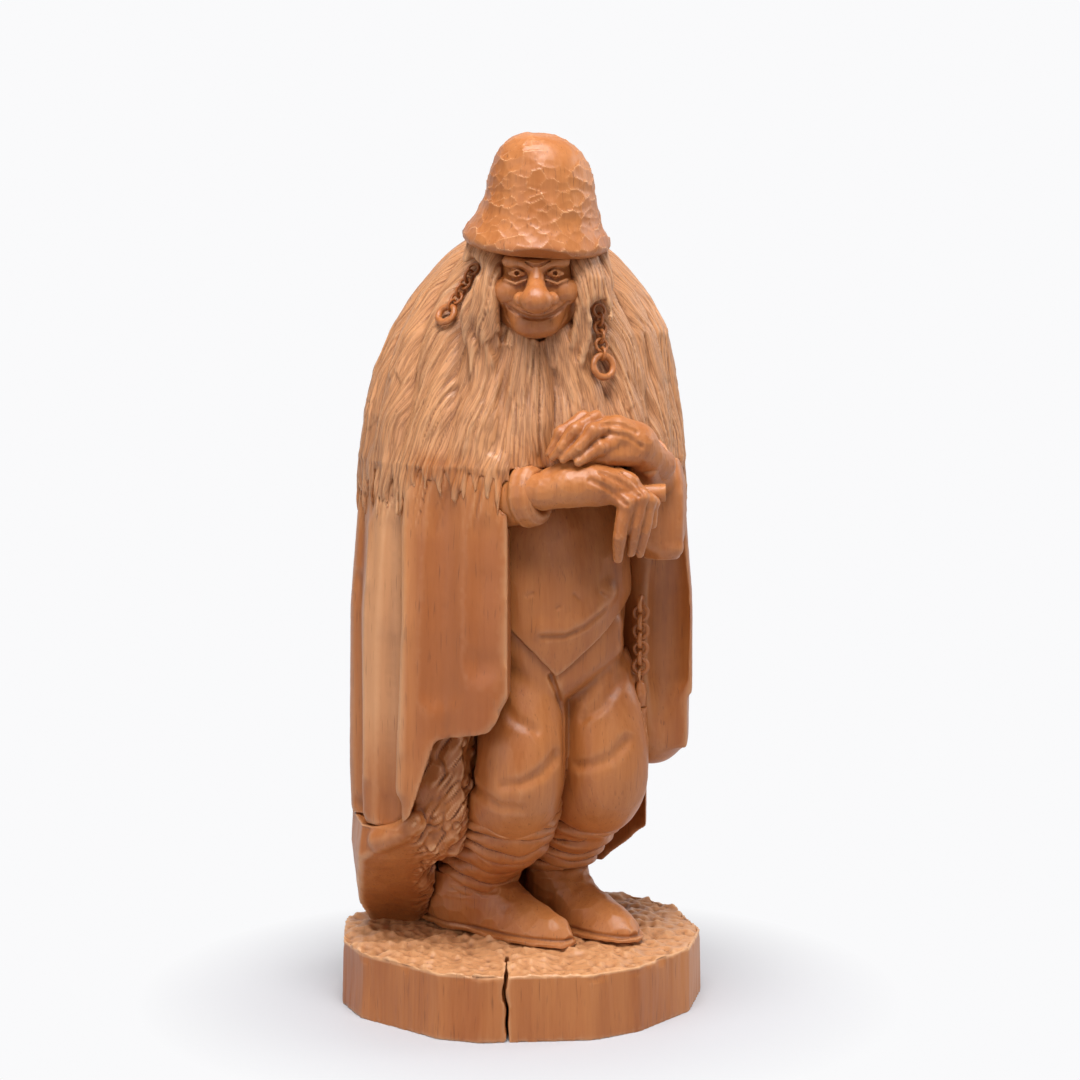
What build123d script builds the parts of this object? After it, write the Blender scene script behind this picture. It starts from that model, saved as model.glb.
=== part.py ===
"""A carved wooden troll, built up from separately carved blocks that are glued and pegged together.

Frame: origin at the middle of the base's underside, +Z up, the face looks along -Y. Millimetres.
Right and left are the troll's own sides. Heights are above the base's top, or above the shoulder
seam where the comment says so.
"""

import math
import os

from build123d import *

# Base: a slice of log with knife-cut sides and one drying crack at the front
BASE_RADIUS = 66.5
BASE_HEIGHT = 24.0
BASE_SIDES = 15
BASE_TAPER = 1.2
CUT_UNEVENNESS = 0.22
CUT_RHYTHM = 2.7
CRACK_X = -4.5
CRACK_WIDTH = 1.3
CRACK_DEPTH = 34.0

# Pegs: dowels glued into both blocks at each joint
PEG_RADIUS = 2.5
PEG_BITE = 8.0
PEG_CLEARANCE = 0.05
PEG_END_GAP = 0.3
WRIST_PEG_RADIUS = 1.6
WRIST_PEG_BITE = 5.0

# The way that the body faces, measured from -Y towards +X
BODY_TURN = 20.0

# Shoes: heel and toe on the base, and stations of (share of the length, half width, height)
RIGHT_HEEL = (-35.0, 22.0)
RIGHT_TOE = (18.0, -29.0)
LEFT_HEEL = (-1.0, 30.0)
LEFT_TOE = (41.5, -22.5)
SHOE_STATIONS = (
    (0.0, 6.0, 13.0),
    (0.1, 9.8, 17.0),
    (0.34, 11.0, 18.0),
    (0.55, 11.4, 15.0),
    (0.75, 11.4, 11.5),
    (0.9, 8.4, 8.5),
    (1.0, 3.0, 5.0),
)
SOLE_THICKNESS = 2.2
SOLE_WELT = 0.6
ANKLE_SHARE = 0.34
ANKLE_HEIGHT = 21.0
ANKLE_RADIUS = 12.0
FOOT_PEG_SHARE = 0.62

# Legs: centre of each station above the base, and half sizes (sideways, forwards)
RIGHT_CUFF = (-7.0, -18.0, 49.0)
RIGHT_KNEE = (0.0, -32.0, 64.0)
RIGHT_THIGH = (0.5, -26.0, 84.0)
RIGHT_HIP = (0.0, -14.0, 106.0)
LEFT_CUFF = (24.0, -7.0, 49.0)
LEFT_KNEE = (30.0, -20.0, 64.0)
LEFT_THIGH = (28.0, -16.0, 84.0)
LEFT_HIP = (20.0, -6.0, 106.0)
CUFF_RADIUS = 14.6
KNEE_HALF = (15.8, 17.0)
THIGH_HALF = (16.0, 18.0)
HIP_HALF = (18.0, 20.0)
BREECHES_OVERHANG = 1.0
WRAP_COUNT = 4
WRAP_DEPTH = 0.9
SEAT_HEIGHT = 78.0
SEAT_HALF = (22.0, 18.0)
WAIST_HALF = (30.5, 30.0)

# Tunic: stations of (height, half width, half depth, forward shift), and its pointed hem
BODY_CENTRE = (4.5, -5.0)
TUNIC_STATIONS = (
    (84.0, 29.0, 28.0, 3.0),
    (110.0, 33.0, 33.0, 5.0),
    (131.0, 33.5, 34.0, 5.5),
    (152.0, 31.5, 31.5, 4.5),
)
TUNIC_TOP = (28.0, 26.0, 2.0)
HEM_POINT = (-4.0, 100.0)
HEM_RISE_RIGHT = 1.05
HEM_RISE_LEFT = 0.8

# Cloak: stations of (height, half width, half depth, fold depth), and the folds' ridges
SHOULDER_HEIGHT = 174.0
CLOAK_CENTRE = (1.0, 1.0)
CLOAK_STATIONS = (
    (2.0, 61.5, 56.0, 4.4),
    (62.0, 63.2, 57.5, 4.0),
    (120.0, 62.4, 56.5, 2.6),
)
CLOAK_TOP = (58.6, 53.0, 1.0)
FOLD_RIDGES = (-14, -39, -61, -86, -116, -146, -176, -206, -234, -259, -283, -320)
OPENING_FROM = -5.0
OPENING_TO = 76.0
HOLLOW_CENTRE = (7.0, -7.0)
HOLLOW_HALF = (42.0, 37.0)

# Cloak hem, as (x, height) points seen from the front: front and left, right side, back
FRONT_HEM = ((10.0, 102.0), (-4.0, 93.0), (-10.0, 82.0), (-29.0, 78.0), (-33.0, 66.0), (-38.0, 51.0), (-44.0, 44.0))
FRONT_HEM_DEPTH = -2.0
SIDE_HEM = ((60.6, 89.0), (60.6, 69.0), (47.0, 69.0), (46.5, 36.0))
BACK_HEM = ((31.0, 19.0), (4.0, 17.0), (-18.0, 14.0))

# Stump: the rough block beside the right leg that carries the cloak, as outlines from above, and the
# depths between which its front leans back under the cloak
STUMP_FOOT = ((-55, -24), (-42, -36), (-30, -28), (-22, -6), (-18, 38), (-38, 38), (-52, 22), (-57, 2))
STUMP_HEAD = ((-57, -24), (-43, -37), (-30, -30), (-20, -6), (-18, 44), (-39, 43), (-55, 26), (-62, 2))
STUMP_SHOULDER = 44.0
CORE_FOOT = ((-49, -14), (-38, -20), (-28, -13), (-22, -4), (-20, 8), (-18, 36), (-40, 34), (-50, 14))
CORE_HEAD = ((-49, -14), (-37, -33), (-20, -36), (-12, -18), (-18, 8), (-18, 36), (-40, 34), (-50, 14))
CORE_START = 8.0
CORE_SWELL = 50.0
CORE_HEIGHT = 84.0
UNDERCUT_FOOT = 12.0
UNDERCUT_HEAD = -38.0
STUMP_FOOT_PEGS = ((-44.0, 22.0), (-31.0, 29.0))
STUMP_HEAD_PEGS = ((-42.0, -8.0), (-44.0, 14.0))

# Mantle: stations of (height above the shoulder, half width, half depth, centre x, centre y, lock depth)
MANTLE_STATIONS = (
    (0.0, 59.0, 53.2, 1.0, 1.0, 2.2),
    (16.0, 57.0, 51.5, 1.0, 2.6, 2.6),
    (31.0, 54.2, 48.5, 1.6, 4.0, 2.6),
    (45.0, 49.8, 45.0, 3.4, 4.0, 2.4),
    (59.0, 42.2, 39.5, 4.2, 4.5, 2.0),
    (71.0, 32.0, 31.0, 4.0, 6.0, 1.4),
    (81.0, 18.0, 18.0, 4.0, 8.0, 0.8),
    (84.0, 8.0, 8.0, 4.0, 9.0, 0.3),
)
LOCK_COUNT = 18
LOCK_UNEVENNESS = 0.22
LOCK_RHYTHM = 2.7
LOCK_SWAY = 4.0
LOCK_WAVE = 14.0
MANTLE_PEGS = ((-44.0, 8.0), (-2.0, 42.0), (46.0, 22.0))

# Head: its place above the shoulder, stations of (height above it, half width, half depth), face
HEAD_CENTRE = (6.0, -27.0, 60.0)
HEAD_STATIONS = (
    (-16.0, 6.5, 9.0),
    (-12.0, 11.5, 14.0),
    (-4.0, 16.0, 18.0),
    (5.0, 17.0, 18.5),
    (13.0, 16.5, 17.5),
    (24.0, 14.0, 15.0),
)
FACE_DEPTH = 17.5
NOSE_RADIUS = 6.0
NOSE_DROP = 3.0
NOSTRIL_RADIUS = 3.6
NOSTRIL_SPREAD = 5.0
CHEEK_RADIUS = 6.5
CHEEK_SPREAD = 9.5
CHEEK_DROP = 3.5
CHIN_RADIUS = 6.0
CHIN_DROP = 11.0
EYE_SPREAD = 6.6
EYE_RISE = 5.0
EYE_RADIUS = 2.4
SOCKET_RADIUS = 3.6
MOUTH_RADIUS = 10.5
MOUTH_RISE = 2.0
MOUTH_SPAN = 110.0
MOUTH_LEAN = 30.0
MOUTH_GROOVE = 0.8

# Hat: its brim above the shoulder, its tilts, and stations of (height, radius, sideways drift)
HAT_CENTRE = (5.6, -28.0, 75.0)
HAT_PITCH = 9.0
HAT_ROLL = 4.5
HAT_STATIONS = (
    (0.0, 23.0, 0.0),
    (3.4, 25.6, 0.2),
    (9.5, 22.0, 0.9),
    (16.0, 19.6, 1.8),
    (24.0, 17.2, 2.4),
    (31.0, 13.8, 2.4),
    (36.5, 9.4, 2.0),
    (39.4, 3.8, 1.6),
)

# Right arm: points of (x, y, height above the shoulder); the fingers hang over the stick
CUFF_START = (-12.0, -38.0, -12.0)
RIGHT_WRIST = (6.5, -51.0, -9.0)
CUFF_SIZE = (10.2, 8.4)
WRIST_SIZE = (7.4, 6.2)
RIGHT_KNUCKLE = (36.0, -53.0, -4.5)
PALM_SIZE = (9.0, 5.6)
FINGER_RADIUS = 2.1
FINGER_SWELL = 1.06
FINGER_TIP = 0.6
RIGHT_FINGERS = (
    ((29.0, -54.5, -8.0), (36.2, -59.5, -13.0), (33.6, -57.0, -30.0)),
    ((33.0, -53.5, -5.5), (40.8, -58.5, -10.0), (38.2, -55.5, -28.0)),
    ((35.0, -53.0, -3.5), (44.6, -56.4, -9.0), (42.6, -53.6, -27.0)),
    ((35.5, -53.0, -0.5), (48.0, -54.4, -6.0), (47.0, -52.4, -22.0)),
)
RIGHT_THUMB = ((10.0, -52.5, -3.0), (17.0, -54.5, 2.5), (25.0, -55.5, 4.5))

# Left arm: the sleeve stands beside the tunic, and the hand lies over the right one
SLEEVE_TIP = (50.0, -25.0, -34.0)
SLEEVE_TIP_SIZE = (6.0, 7.0)
SLEEVE_ELBOW = (49.5, -23.0, -24.0)
SLEEVE_ELBOW_SIZE = (9.0, 10.5)
SLEEVE_SHOULDER = (48.0, -18.0)
SLEEVE_SIZE = (8.5, 9.5)
LEFT_FOREARM = (49.0, -22.0, -11.0)
LEFT_WRIST = (45.0, -41.0, 4.0)
LEFT_WRIST_SIZE = (7.6, 6.4)
LEFT_KNUCKLE = (26.0, -52.0, 11.5)
LEFT_PALM_SIZE = (9.5, 6.2)
LEFT_FINGERS = (
    ((33.0, -52.5, 9.0), (27.5, -58.0, 7.6), (20.1, -60.0, 3.0)),
    ((30.0, -52.5, 13.0), (24.6, -58.5, 12.6), (16.2, -60.5, 6.2)),
    ((28.0, -52.0, 16.0), (18.7, -57.5, 14.2), (12.2, -57.6, 6.4)),
    ((28.0, -50.5, 18.6), (14.4, -53.2, 14.4), (9.6, -53.2, 6.4)),
)
STICK_RADIUS = 3.3
STICK_START = (24.0, -48.5, -9.5)
STICK_END = (50.5, -48.0, -8.5)

# Chains and rings in relief: (x, height above the shoulder) and slope, as seen from the front
EAR_LINK = (2.1, 0.5)
EAR_LINKS = 6
LINK_GAP = 0.1
RELIEF_RISE = 0.7
RELIEF_CLEARANCE = 0.15
POCKET_DEPTH = 3.8
RIGHT_EAR = (-16.0, 67.0)
RIGHT_EAR_SLOPE = 120.0
RIGHT_RING = (3.2, 0.95)
LEFT_EAR = (27.4, 53.0)
LEFT_EAR_SLOPE = 86.0
LEFT_RING = (3.8, 0.95)

# Knife chain, knife and sheath: they hang straight down at the left hip
KNIFE_LINK = (2.4, 0.75)
KNIFE_LINKS = 8
KNIFE_PLACE = (43.0, -21.0, 123.0)
KNIFE_AZIMUTH = 75.0
KNIFE_SIZE = (2.4, 3.2)
HILT_TOP_SIZE = (1.7, 2.2)
HILT_END_SIZE = (1.9, 2.6)
KNIFE_LENGTH = 9.0
SHEATH_SIZE = (2.6, 3.8)
SHEATH_TIP = (1.6, 1.8)
SHEATH_LENGTH = 20.0

TURN = math.radians(BODY_TURN)
FORWARD = Vector(math.sin(TURN), -math.cos(TURN), 0)
SIDEWAYS = Vector(math.cos(TURN), math.sin(TURN), 0)
UP = Vector(0, 0, 1)
SHOULDER = BASE_HEIGHT + SHOULDER_HEIGHT
FAR = 4 * BASE_RADIUS


def above_base(x, y, height=0.0):
    """A point at this height above the base's top."""
    return Vector(x, y, BASE_HEIGHT + height)


def above_shoulder(x, y, height=0.0):
    """A point at this height above the shoulder seam."""
    return Vector(x, y, SHOULDER + height)


def body_plane(height, forward=0.0):
    """A level plane, its x to the troll's left, shifted forward from the body's axis."""
    return Plane(above_base(*BODY_CENTRE, height) + FORWARD * forward, SIDEWAYS, UP)


def square_to(point, direction, sideways=SIDEWAYS):
    """A plane through the point, square to the direction, with its x near the sideways vector."""
    direction = direction.normalized()
    return Plane(point, sideways - direction * sideways.dot(direction), direction)


def on_foot(heel, toe, share, height=0.0):
    """A point at this share of the way from the heel to the toe."""
    start = above_base(*heel, height)
    return start + (above_base(*toe, height) - start) * share


def ellipse_loft(stations):
    """Loft through ellipses given as (plane, half width, half depth), each from the plane's x axis."""
    sections = []
    for plane, half_width, half_depth in stations:
        with BuildSketch(plane) as section:
            with BuildLine():
                EllipticalCenterArc((0, 0), half_width, half_depth, 0, arc_size=180)
                EllipticalCenterArc((0, 0), half_width, half_depth, 180, arc_size=180)
            make_face()
        sections.append(section.sketch.face())
    loft(sections)


def finger(points):
    """A finger through its knuckle, its bend and its tip, with a rounded end."""
    knuckle, bend, tip = [above_shoulder(*point) for point in points]
    first, last = (bend - knuckle).normalized(), (tip - bend).normalized()
    stations = (
        (knuckle, first, FINGER_RADIUS),
        (bend, first + last, FINGER_SWELL * FINGER_RADIUS),
        (tip, last, FINGER_RADIUS),
        (tip + last * (FINGER_TIP * FINGER_RADIUS), last, FINGER_TIP * FINGER_RADIUS),
    )
    sections = []
    for point, aim, radius in stations:
        with BuildSketch(square_to(point, aim)) as section:
            Circle(radius)
        sections.append(section.sketch.face())
    loft(sections, ruled=True)


def peg(*planes, radius=PEG_RADIUS, bite=PEG_BITE):
    """A dowel that reaches both ways from each joint plane."""
    with Locations(*planes):
        Cylinder(radius, 2 * bite)


def peg_hole(*planes, radius=PEG_RADIUS, bite=PEG_BITE):
    """The bore for a dowel on each joint plane."""
    with Locations(*planes):
        Cylinder(radius + PEG_CLEARANCE, 2 * (bite + PEG_END_GAP), mode=Mode.SUBTRACT)


def cut_away(*pieces):
    """Seat the pieces in the one being made."""
    for piece in pieces:
        add(piece.part, mode=Mode.SUBTRACT)


def below_hem(points, start_depth, end_depth):
    """Take away what hangs under a hem line seen from the front, between two depths."""
    with BuildSketch(Plane((0, start_depth, BASE_HEIGHT), (1, 0, 0), (0, -1, 0))) as under:
        with BuildLine():
            Polyline(*points, (points[-1][0], -BASE_HEIGHT), (points[0][0], -BASE_HEIGHT), close=True)
        make_face()
    extrude(under.sketch, amount=start_depth - end_depth, mode=Mode.SUBTRACT)


def front_of(shape, x, z):
    """Where a viewer in front first meets the shape at (x, z), and the outward normal there."""
    sight = Axis((x, -FAR, z), (0, 1, 0))
    hits = [hit for face in shape.faces() for hit in face.find_intersection_points(sight)]
    point, normal = min(hits, key=lambda hit: hit[0].Y)
    return point, normal if normal.Y < 0 else normal * -1


def link_pitch(link):
    """The distance between two interlocking links of (radius, wire radius)."""
    return 2 * (link[0] - link[1]) - LINK_GAP


def chain_links(start, direction, outward, count, link):
    """Links in a row, flat and standing in turn."""
    for number in range(count):
        axis = outward if number % 2 == 0 else outward.cross(direction)
        with Locations(Plane(start + direction * (number * link_pitch(link)), direction, axis)):
            Torus(*link)


def chain_groove(start, direction, count, link):
    """The groove that a row of links lies in."""
    length = (count - 1) * link_pitch(link)
    with Locations(square_to(start + direction * (length / 2), direction, UP + SIDEWAYS)):
        Cylinder(
            link[0] + link[1] + RELIEF_CLEARANCE,
            length + 2 * (link[0] + link[1] + RELIEF_CLEARANCE),
            mode=Mode.SUBTRACT,
        )


def ring_pocket(centre, outward, ring):
    """The round recess that a ring lies in."""
    floor = centre - outward * (ring[1] + RELIEF_CLEARANCE)
    with Locations(square_to(floor, outward, UP)):
        Cylinder(
            ring[0] + ring[1] + RELIEF_CLEARANCE,
            POCKET_DEPTH,
            align=(Align.CENTER, Align.CENTER, Align.MIN),
            mode=Mode.SUBTRACT,
        )


def lay_on(shape, place, slope, link, count):
    """Start, direction and outward normal of a chain that lies on the shape's front."""
    length = (count - 1) * link_pitch(link)
    run = Vector(math.cos(math.radians(slope)), 0, -math.sin(math.radians(slope))) * length
    first, first_normal = front_of(shape, place[0], SHOULDER + place[1])
    last, last_normal = front_of(shape, place[0] + run.X, SHOULDER + place[1] + run.Z)
    direction = (last - first).normalized()
    outward = first_normal + last_normal
    outward = (outward - direction * outward.dot(direction)).normalized()
    return first + outward * RELIEF_RISE, direction, outward


# Joints between the blocks
right_ankle = Plane(on_foot(RIGHT_HEEL, RIGHT_TOE, ANKLE_SHARE, ANKLE_HEIGHT), SIDEWAYS, UP)
left_ankle = Plane(on_foot(LEFT_HEEL, LEFT_TOE, ANKLE_SHARE, ANKLE_HEIGHT), SIDEWAYS, UP)
right_cuff = square_to(above_base(*RIGHT_CUFF), above_base(*RIGHT_KNEE) - right_ankle.origin)
left_cuff = square_to(above_base(*LEFT_CUFF), above_base(*LEFT_KNEE) - left_ankle.origin)
foot_joints = (
    Plane(on_foot(RIGHT_HEEL, RIGHT_TOE, FOOT_PEG_SHARE)),
    Plane(on_foot(LEFT_HEEL, LEFT_TOE, FOOT_PEG_SHARE)),
)
stump_joints = [Plane(above_base(*place)) for place in STUMP_FOOT_PEGS]
stump_head_joints = [Plane(above_base(*place, CORE_HEIGHT)) for place in STUMP_HEAD_PEGS]
waist_joint = body_plane(HEM_POINT[1] - HEM_POINT[0] * HEM_RISE_LEFT)
neck_joint = body_plane(SHOULDER_HEIGHT)
mantle_joints = [Plane(above_shoulder(*place)) for place in MANTLE_PEGS]
head_joint = Plane(above_shoulder(*HEAD_CENTRE) + Vector(0, FACE_DEPTH, 0), z_dir=(0, 1, 0))
hat_joint = Plane(above_shoulder(*HAT_CENTRE)).rotated((HAT_PITCH, HAT_ROLL, 0))
right_aim = above_shoulder(*RIGHT_WRIST) - above_shoulder(*CUFF_START)
right_wrist = square_to(above_shoulder(*RIGHT_WRIST), right_aim, UP)
left_aim = above_shoulder(*LEFT_WRIST) - above_shoulder(*LEFT_FOREARM)
left_wrist = square_to(above_shoulder(*LEFT_WRIST), left_aim, UP)

# Base
with BuildPart() as base:
    with BuildSketch():
        with BuildLine():
            corners = []
            for side in range(BASE_SIDES):
                shift = CUT_UNEVENNESS * math.sin(CUT_RHYTHM * side)
                angle = 2 * math.pi * (side + shift) / BASE_SIDES
                corners.append((BASE_RADIUS * math.cos(angle), BASE_RADIUS * math.sin(angle)))
            Polyline(*corners, close=True)
        make_face()
    extrude(amount=BASE_HEIGHT, taper=BASE_TAPER)
    with BuildSketch():
        with BuildLine():
            Polyline(
                (CRACK_X - CRACK_WIDTH / 2, -BASE_RADIUS),
                (CRACK_X + CRACK_WIDTH / 2, -BASE_RADIUS),
                (CRACK_X, CRACK_DEPTH - BASE_RADIUS),
                close=True,
            )
        make_face()
    extrude(amount=BASE_HEIGHT, mode=Mode.SUBTRACT)
    peg_hole(*foot_joints, *stump_joints)


# Shoes and stockings
def make_shoe(heel, toe, ankle, foot_joint):
    """A blunt shoe on a welted sole, with an ankle that is cut level."""
    length = (above_base(*toe) - above_base(*heel)).length
    heading = (above_base(*toe) - above_base(*heel)) / length
    with BuildPart() as shoe:
        for share, half_width, height in SHOE_STATIONS:
            with BuildSketch(Plane(on_foot(heel, toe, share), UP.cross(heading), heading)):
                with BuildLine():
                    Line((-half_width, 0), (half_width, 0))
                    EllipticalCenterArc((0, 0), half_width, height, 0, arc_size=180)
                make_face()
        loft()
        with BuildSketch(Plane(above_base(*heel), heading, UP)):
            with BuildLine():
                inner = [(share * length, half + SOLE_WELT) for share, half, height in SHOE_STATIONS]
                outer = [(along, -half) for along, half in reversed(inner)]
                Spline(*inner, *outer, periodic=True)
            make_face()
        extrude(amount=SOLE_THICKNESS)
        with BuildSketch(ankle):
            Circle(ANKLE_RADIUS)
        extrude(amount=SOLE_THICKNESS - ANKLE_HEIGHT)
        peg_hole(foot_joint, ankle)
    return shoe


def make_stocking(ankle, cuff):
    """A stocking with ridges of wrapping, from the ankle up to the breeches."""
    steps = 2 * WRAP_COUNT
    with BuildPart() as stocking:
        for step in range(steps + 1):
            share = step / steps
            point = ankle.origin + (cuff.origin - ankle.origin) * share
            with BuildSketch(square_to(point, ankle.z_dir * (1 - share) + cuff.z_dir * share)):
                Circle(ANKLE_RADIUS + (CUFF_RADIUS - ANKLE_RADIUS) * share + WRAP_DEPTH * (step % 2))
        loft(ruled=True)
        peg_hole(ankle, cuff)
    return stocking


right_shoe = make_shoe(RIGHT_HEEL, RIGHT_TOE, right_ankle, foot_joints[0])
left_shoe = make_shoe(LEFT_HEEL, LEFT_TOE, left_ankle, foot_joints[1])
right_stocking = make_stocking(right_ankle, right_cuff)
left_stocking = make_stocking(left_ankle, left_cuff)

# Knife chain, knife and sheath
knife_start = above_base(*KNIFE_PLACE)
knife_outward = Vector(math.sin(math.radians(KNIFE_AZIMUTH)), -math.cos(math.radians(KNIFE_AZIMUTH)), 0)
knife_eye = knife_start - UP * (KNIFE_LINKS * link_pitch(KNIFE_LINK))
hilt_top = Plane(knife_eye - UP * KNIFE_LINK[0], knife_outward, UP)
hilt_end = hilt_top.offset(-KNIFE_LENGTH)

with BuildPart() as knife_chain:
    chain_links(knife_start, UP * -1, knife_outward, KNIFE_LINKS, KNIFE_LINK)

with BuildPart() as knife:
    with Locations(Plane(knife_eye, UP, knife_outward)):
        Torus(*KNIFE_LINK)
    ellipse_loft(
        [
            (hilt_top, *HILT_TOP_SIZE),
            (hilt_top.offset(-KNIFE_LENGTH / 2), *KNIFE_SIZE),
            (hilt_end, *HILT_END_SIZE),
        ]
    )

with BuildPart() as sheath:
    ellipse_loft([(hilt_end.offset(-SHEATH_LENGTH), *SHEATH_TIP), (hilt_end, *SHEATH_SIZE)])

# Stick, hands and sleeves
with BuildPart() as stick:
    stick_run = above_shoulder(*STICK_END) - above_shoulder(*STICK_START)
    with BuildSketch(square_to(above_shoulder(*STICK_START), stick_run, UP)):
        Circle(STICK_RADIUS)
    extrude(amount=stick_run.length)

with BuildPart() as right_sleeve:
    ellipse_loft(
        [
            (square_to(above_shoulder(*CUFF_START), right_aim, UP), *CUFF_SIZE),
            (right_wrist, *CUFF_SIZE),
        ]
    )
    peg_hole(right_wrist, radius=WRIST_PEG_RADIUS, bite=WRIST_PEG_BITE)

with BuildPart() as left_hand:
    knuckle = above_shoulder(*LEFT_KNUCKLE)
    ellipse_loft(
        [
            (left_wrist, *LEFT_WRIST_SIZE),
            (square_to(knuckle, knuckle - left_wrist.origin, UP), *LEFT_PALM_SIZE),
        ]
    )
    for points in LEFT_FINGERS:
        finger(points)
    cut_away(stick)
    peg_hole(left_wrist, radius=WRIST_PEG_RADIUS, bite=WRIST_PEG_BITE)

with BuildPart() as right_hand:
    knuckle = above_shoulder(*RIGHT_KNUCKLE)
    ellipse_loft(
        [
            (right_wrist, *WRIST_SIZE),
            (square_to(knuckle, knuckle - right_wrist.origin, UP), *PALM_SIZE),
        ]
    )
    for points in (*RIGHT_FINGERS, RIGHT_THUMB):
        finger(points)
    cut_away(stick, left_hand)
    peg_hole(right_wrist, radius=WRIST_PEG_RADIUS, bite=WRIST_PEG_BITE)

with BuildPart() as left_sleeve:
    ellipse_loft(
        [
            (Plane(above_shoulder(*SLEEVE_TIP), SIDEWAYS, UP), *SLEEVE_TIP_SIZE),
            (Plane(above_shoulder(*SLEEVE_ELBOW), SIDEWAYS, UP), *SLEEVE_ELBOW_SIZE),
            (Plane(above_shoulder(*SLEEVE_SHOULDER), SIDEWAYS, UP), *SLEEVE_SIZE),
        ]
    )
    ellipse_loft(
        [
            (square_to(above_shoulder(*LEFT_FOREARM), left_aim, UP), *LEFT_WRIST_SIZE),
            (left_wrist, *LEFT_WRIST_SIZE),
        ]
    )
    cut_away(stick, right_hand)
    peg_hole(left_wrist, radius=WRIST_PEG_RADIUS, bite=WRIST_PEG_BITE)


# Tunic and breeches meet at the pointed hem
with BuildSketch(Plane(above_base(*BODY_CENTRE), SIDEWAYS, FORWARD)) as above_hem:
    with BuildLine():
        Polyline(
            HEM_POINT,
            (HEM_POINT[0] + FAR, HEM_POINT[1] + FAR * HEM_RISE_LEFT),
            (HEM_POINT[0] - FAR, HEM_POINT[1] + FAR * HEM_RISE_RIGHT),
            close=True,
        )
    make_face()

with BuildPart() as tunic:
    ellipse_loft(
        [
            (body_plane(height, forward), half_width, half_depth)
            for height, half_width, half_depth, forward in TUNIC_STATIONS
        ]
        + [(body_plane(SHOULDER_HEIGHT, TUNIC_TOP[2]), *TUNIC_TOP[:2])]
    )
    extrude(above_hem.sketch, amount=FAR, both=True, mode=Mode.INTERSECT)
    cut_away(stick, right_sleeve, right_hand, left_hand, left_sleeve)
    chain_groove(knife_start, UP * -1, KNIFE_LINKS, KNIFE_LINK)
    peg_hole(waist_joint, neck_joint)
    peg_hole(right_wrist, left_wrist, radius=WRIST_PEG_RADIUS, bite=WRIST_PEG_BITE)

with BuildPart() as breeches:
    for cuff, knee, thigh, hip in (
        (right_cuff, RIGHT_KNEE, RIGHT_THIGH, RIGHT_HIP),
        (left_cuff, LEFT_KNEE, LEFT_THIGH, LEFT_HIP),
    ):
        knee, thigh, hip = above_base(*knee), above_base(*thigh), above_base(*hip)
        ellipse_loft(
            [
                (cuff, CUFF_RADIUS + BREECHES_OVERHANG, CUFF_RADIUS + BREECHES_OVERHANG),
                (square_to(knee, thigh - cuff.origin), *KNEE_HALF),
                (square_to(thigh, hip - knee), *THIGH_HALF),
                (square_to(hip, UP), *HIP_HALF),
            ]
        )
    ellipse_loft(
        [
            (body_plane(SEAT_HEIGHT), *SEAT_HALF),
            (body_plane(TUNIC_STATIONS[1][0], TUNIC_STATIONS[1][3]), *WAIST_HALF),
            (body_plane(TUNIC_STATIONS[3][0], TUNIC_STATIONS[3][3]), *WAIST_HALF),
        ]
    )
    extrude(above_hem.sketch, amount=FAR, both=True, mode=Mode.SUBTRACT)
    chain_groove(knife_start, UP * -1, KNIFE_LINKS, KNIFE_LINK)
    cut_away(knife, sheath)
    peg_hole(right_cuff, left_cuff, waist_joint)


# Stump and cloak
def outlined(height, points):
    """A closed straight-sided face at this height above the base."""
    with BuildSketch(Plane(above_base(0, 0, height))) as outline:
        with BuildLine():
            Polyline(*points, close=True)
        make_face()
    return outline.sketch.face()


with BuildPart() as stump:
    loft([outlined(0, STUMP_FOOT), outlined(STUMP_SHOULDER, STUMP_HEAD)], ruled=True)
    loft([outlined(CORE_START, CORE_FOOT), outlined(CORE_SWELL, CORE_HEAD)], ruled=True)
    extrude(outlined(CORE_SWELL, CORE_HEAD), amount=CORE_HEIGHT - CORE_SWELL)
    with BuildSketch(Plane((0, 0, BASE_HEIGHT), (0, 1, 0), (1, 0, 0))):
        with BuildLine():
            Polyline(
                (UNDERCUT_FOOT, 0),
                (UNDERCUT_HEAD, STUMP_SHOULDER),
                (-FAR, STUMP_SHOULDER),
                (-FAR, 0),
                close=True,
            )
        make_face()
    extrude(amount=FAR, both=True, mode=Mode.SUBTRACT)
    cut_away(right_shoe, right_stocking, breeches)
    peg_hole(*stump_joints, *stump_head_joints, right_ankle, right_cuff)


def folded(plane, half_width, half_depth, fold, ridges=FOLD_RIDGES):
    """A face with rounded ridges at these azimuths: an arc over each ridge, from valley to valley."""

    def place(azimuth, sink):
        angle = math.radians(azimuth)
        return (half_width - sink) * math.sin(angle), (sink - half_depth) * math.cos(angle)

    before = (ridges[-1] + 360, *ridges[:-1])
    after = (*ridges[1:], ridges[0] - 360)
    with BuildSketch(plane) as outline:
        with BuildLine():
            for last, ridge, following in zip(before, ridges, after):
                valleys = [place((ridge + other) / 2, fold) for other in (last, following)]
                ThreePointArc(valleys[0], place(ridge, 0), valleys[1])
        make_face()
    return outline.sketch.face()


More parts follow.
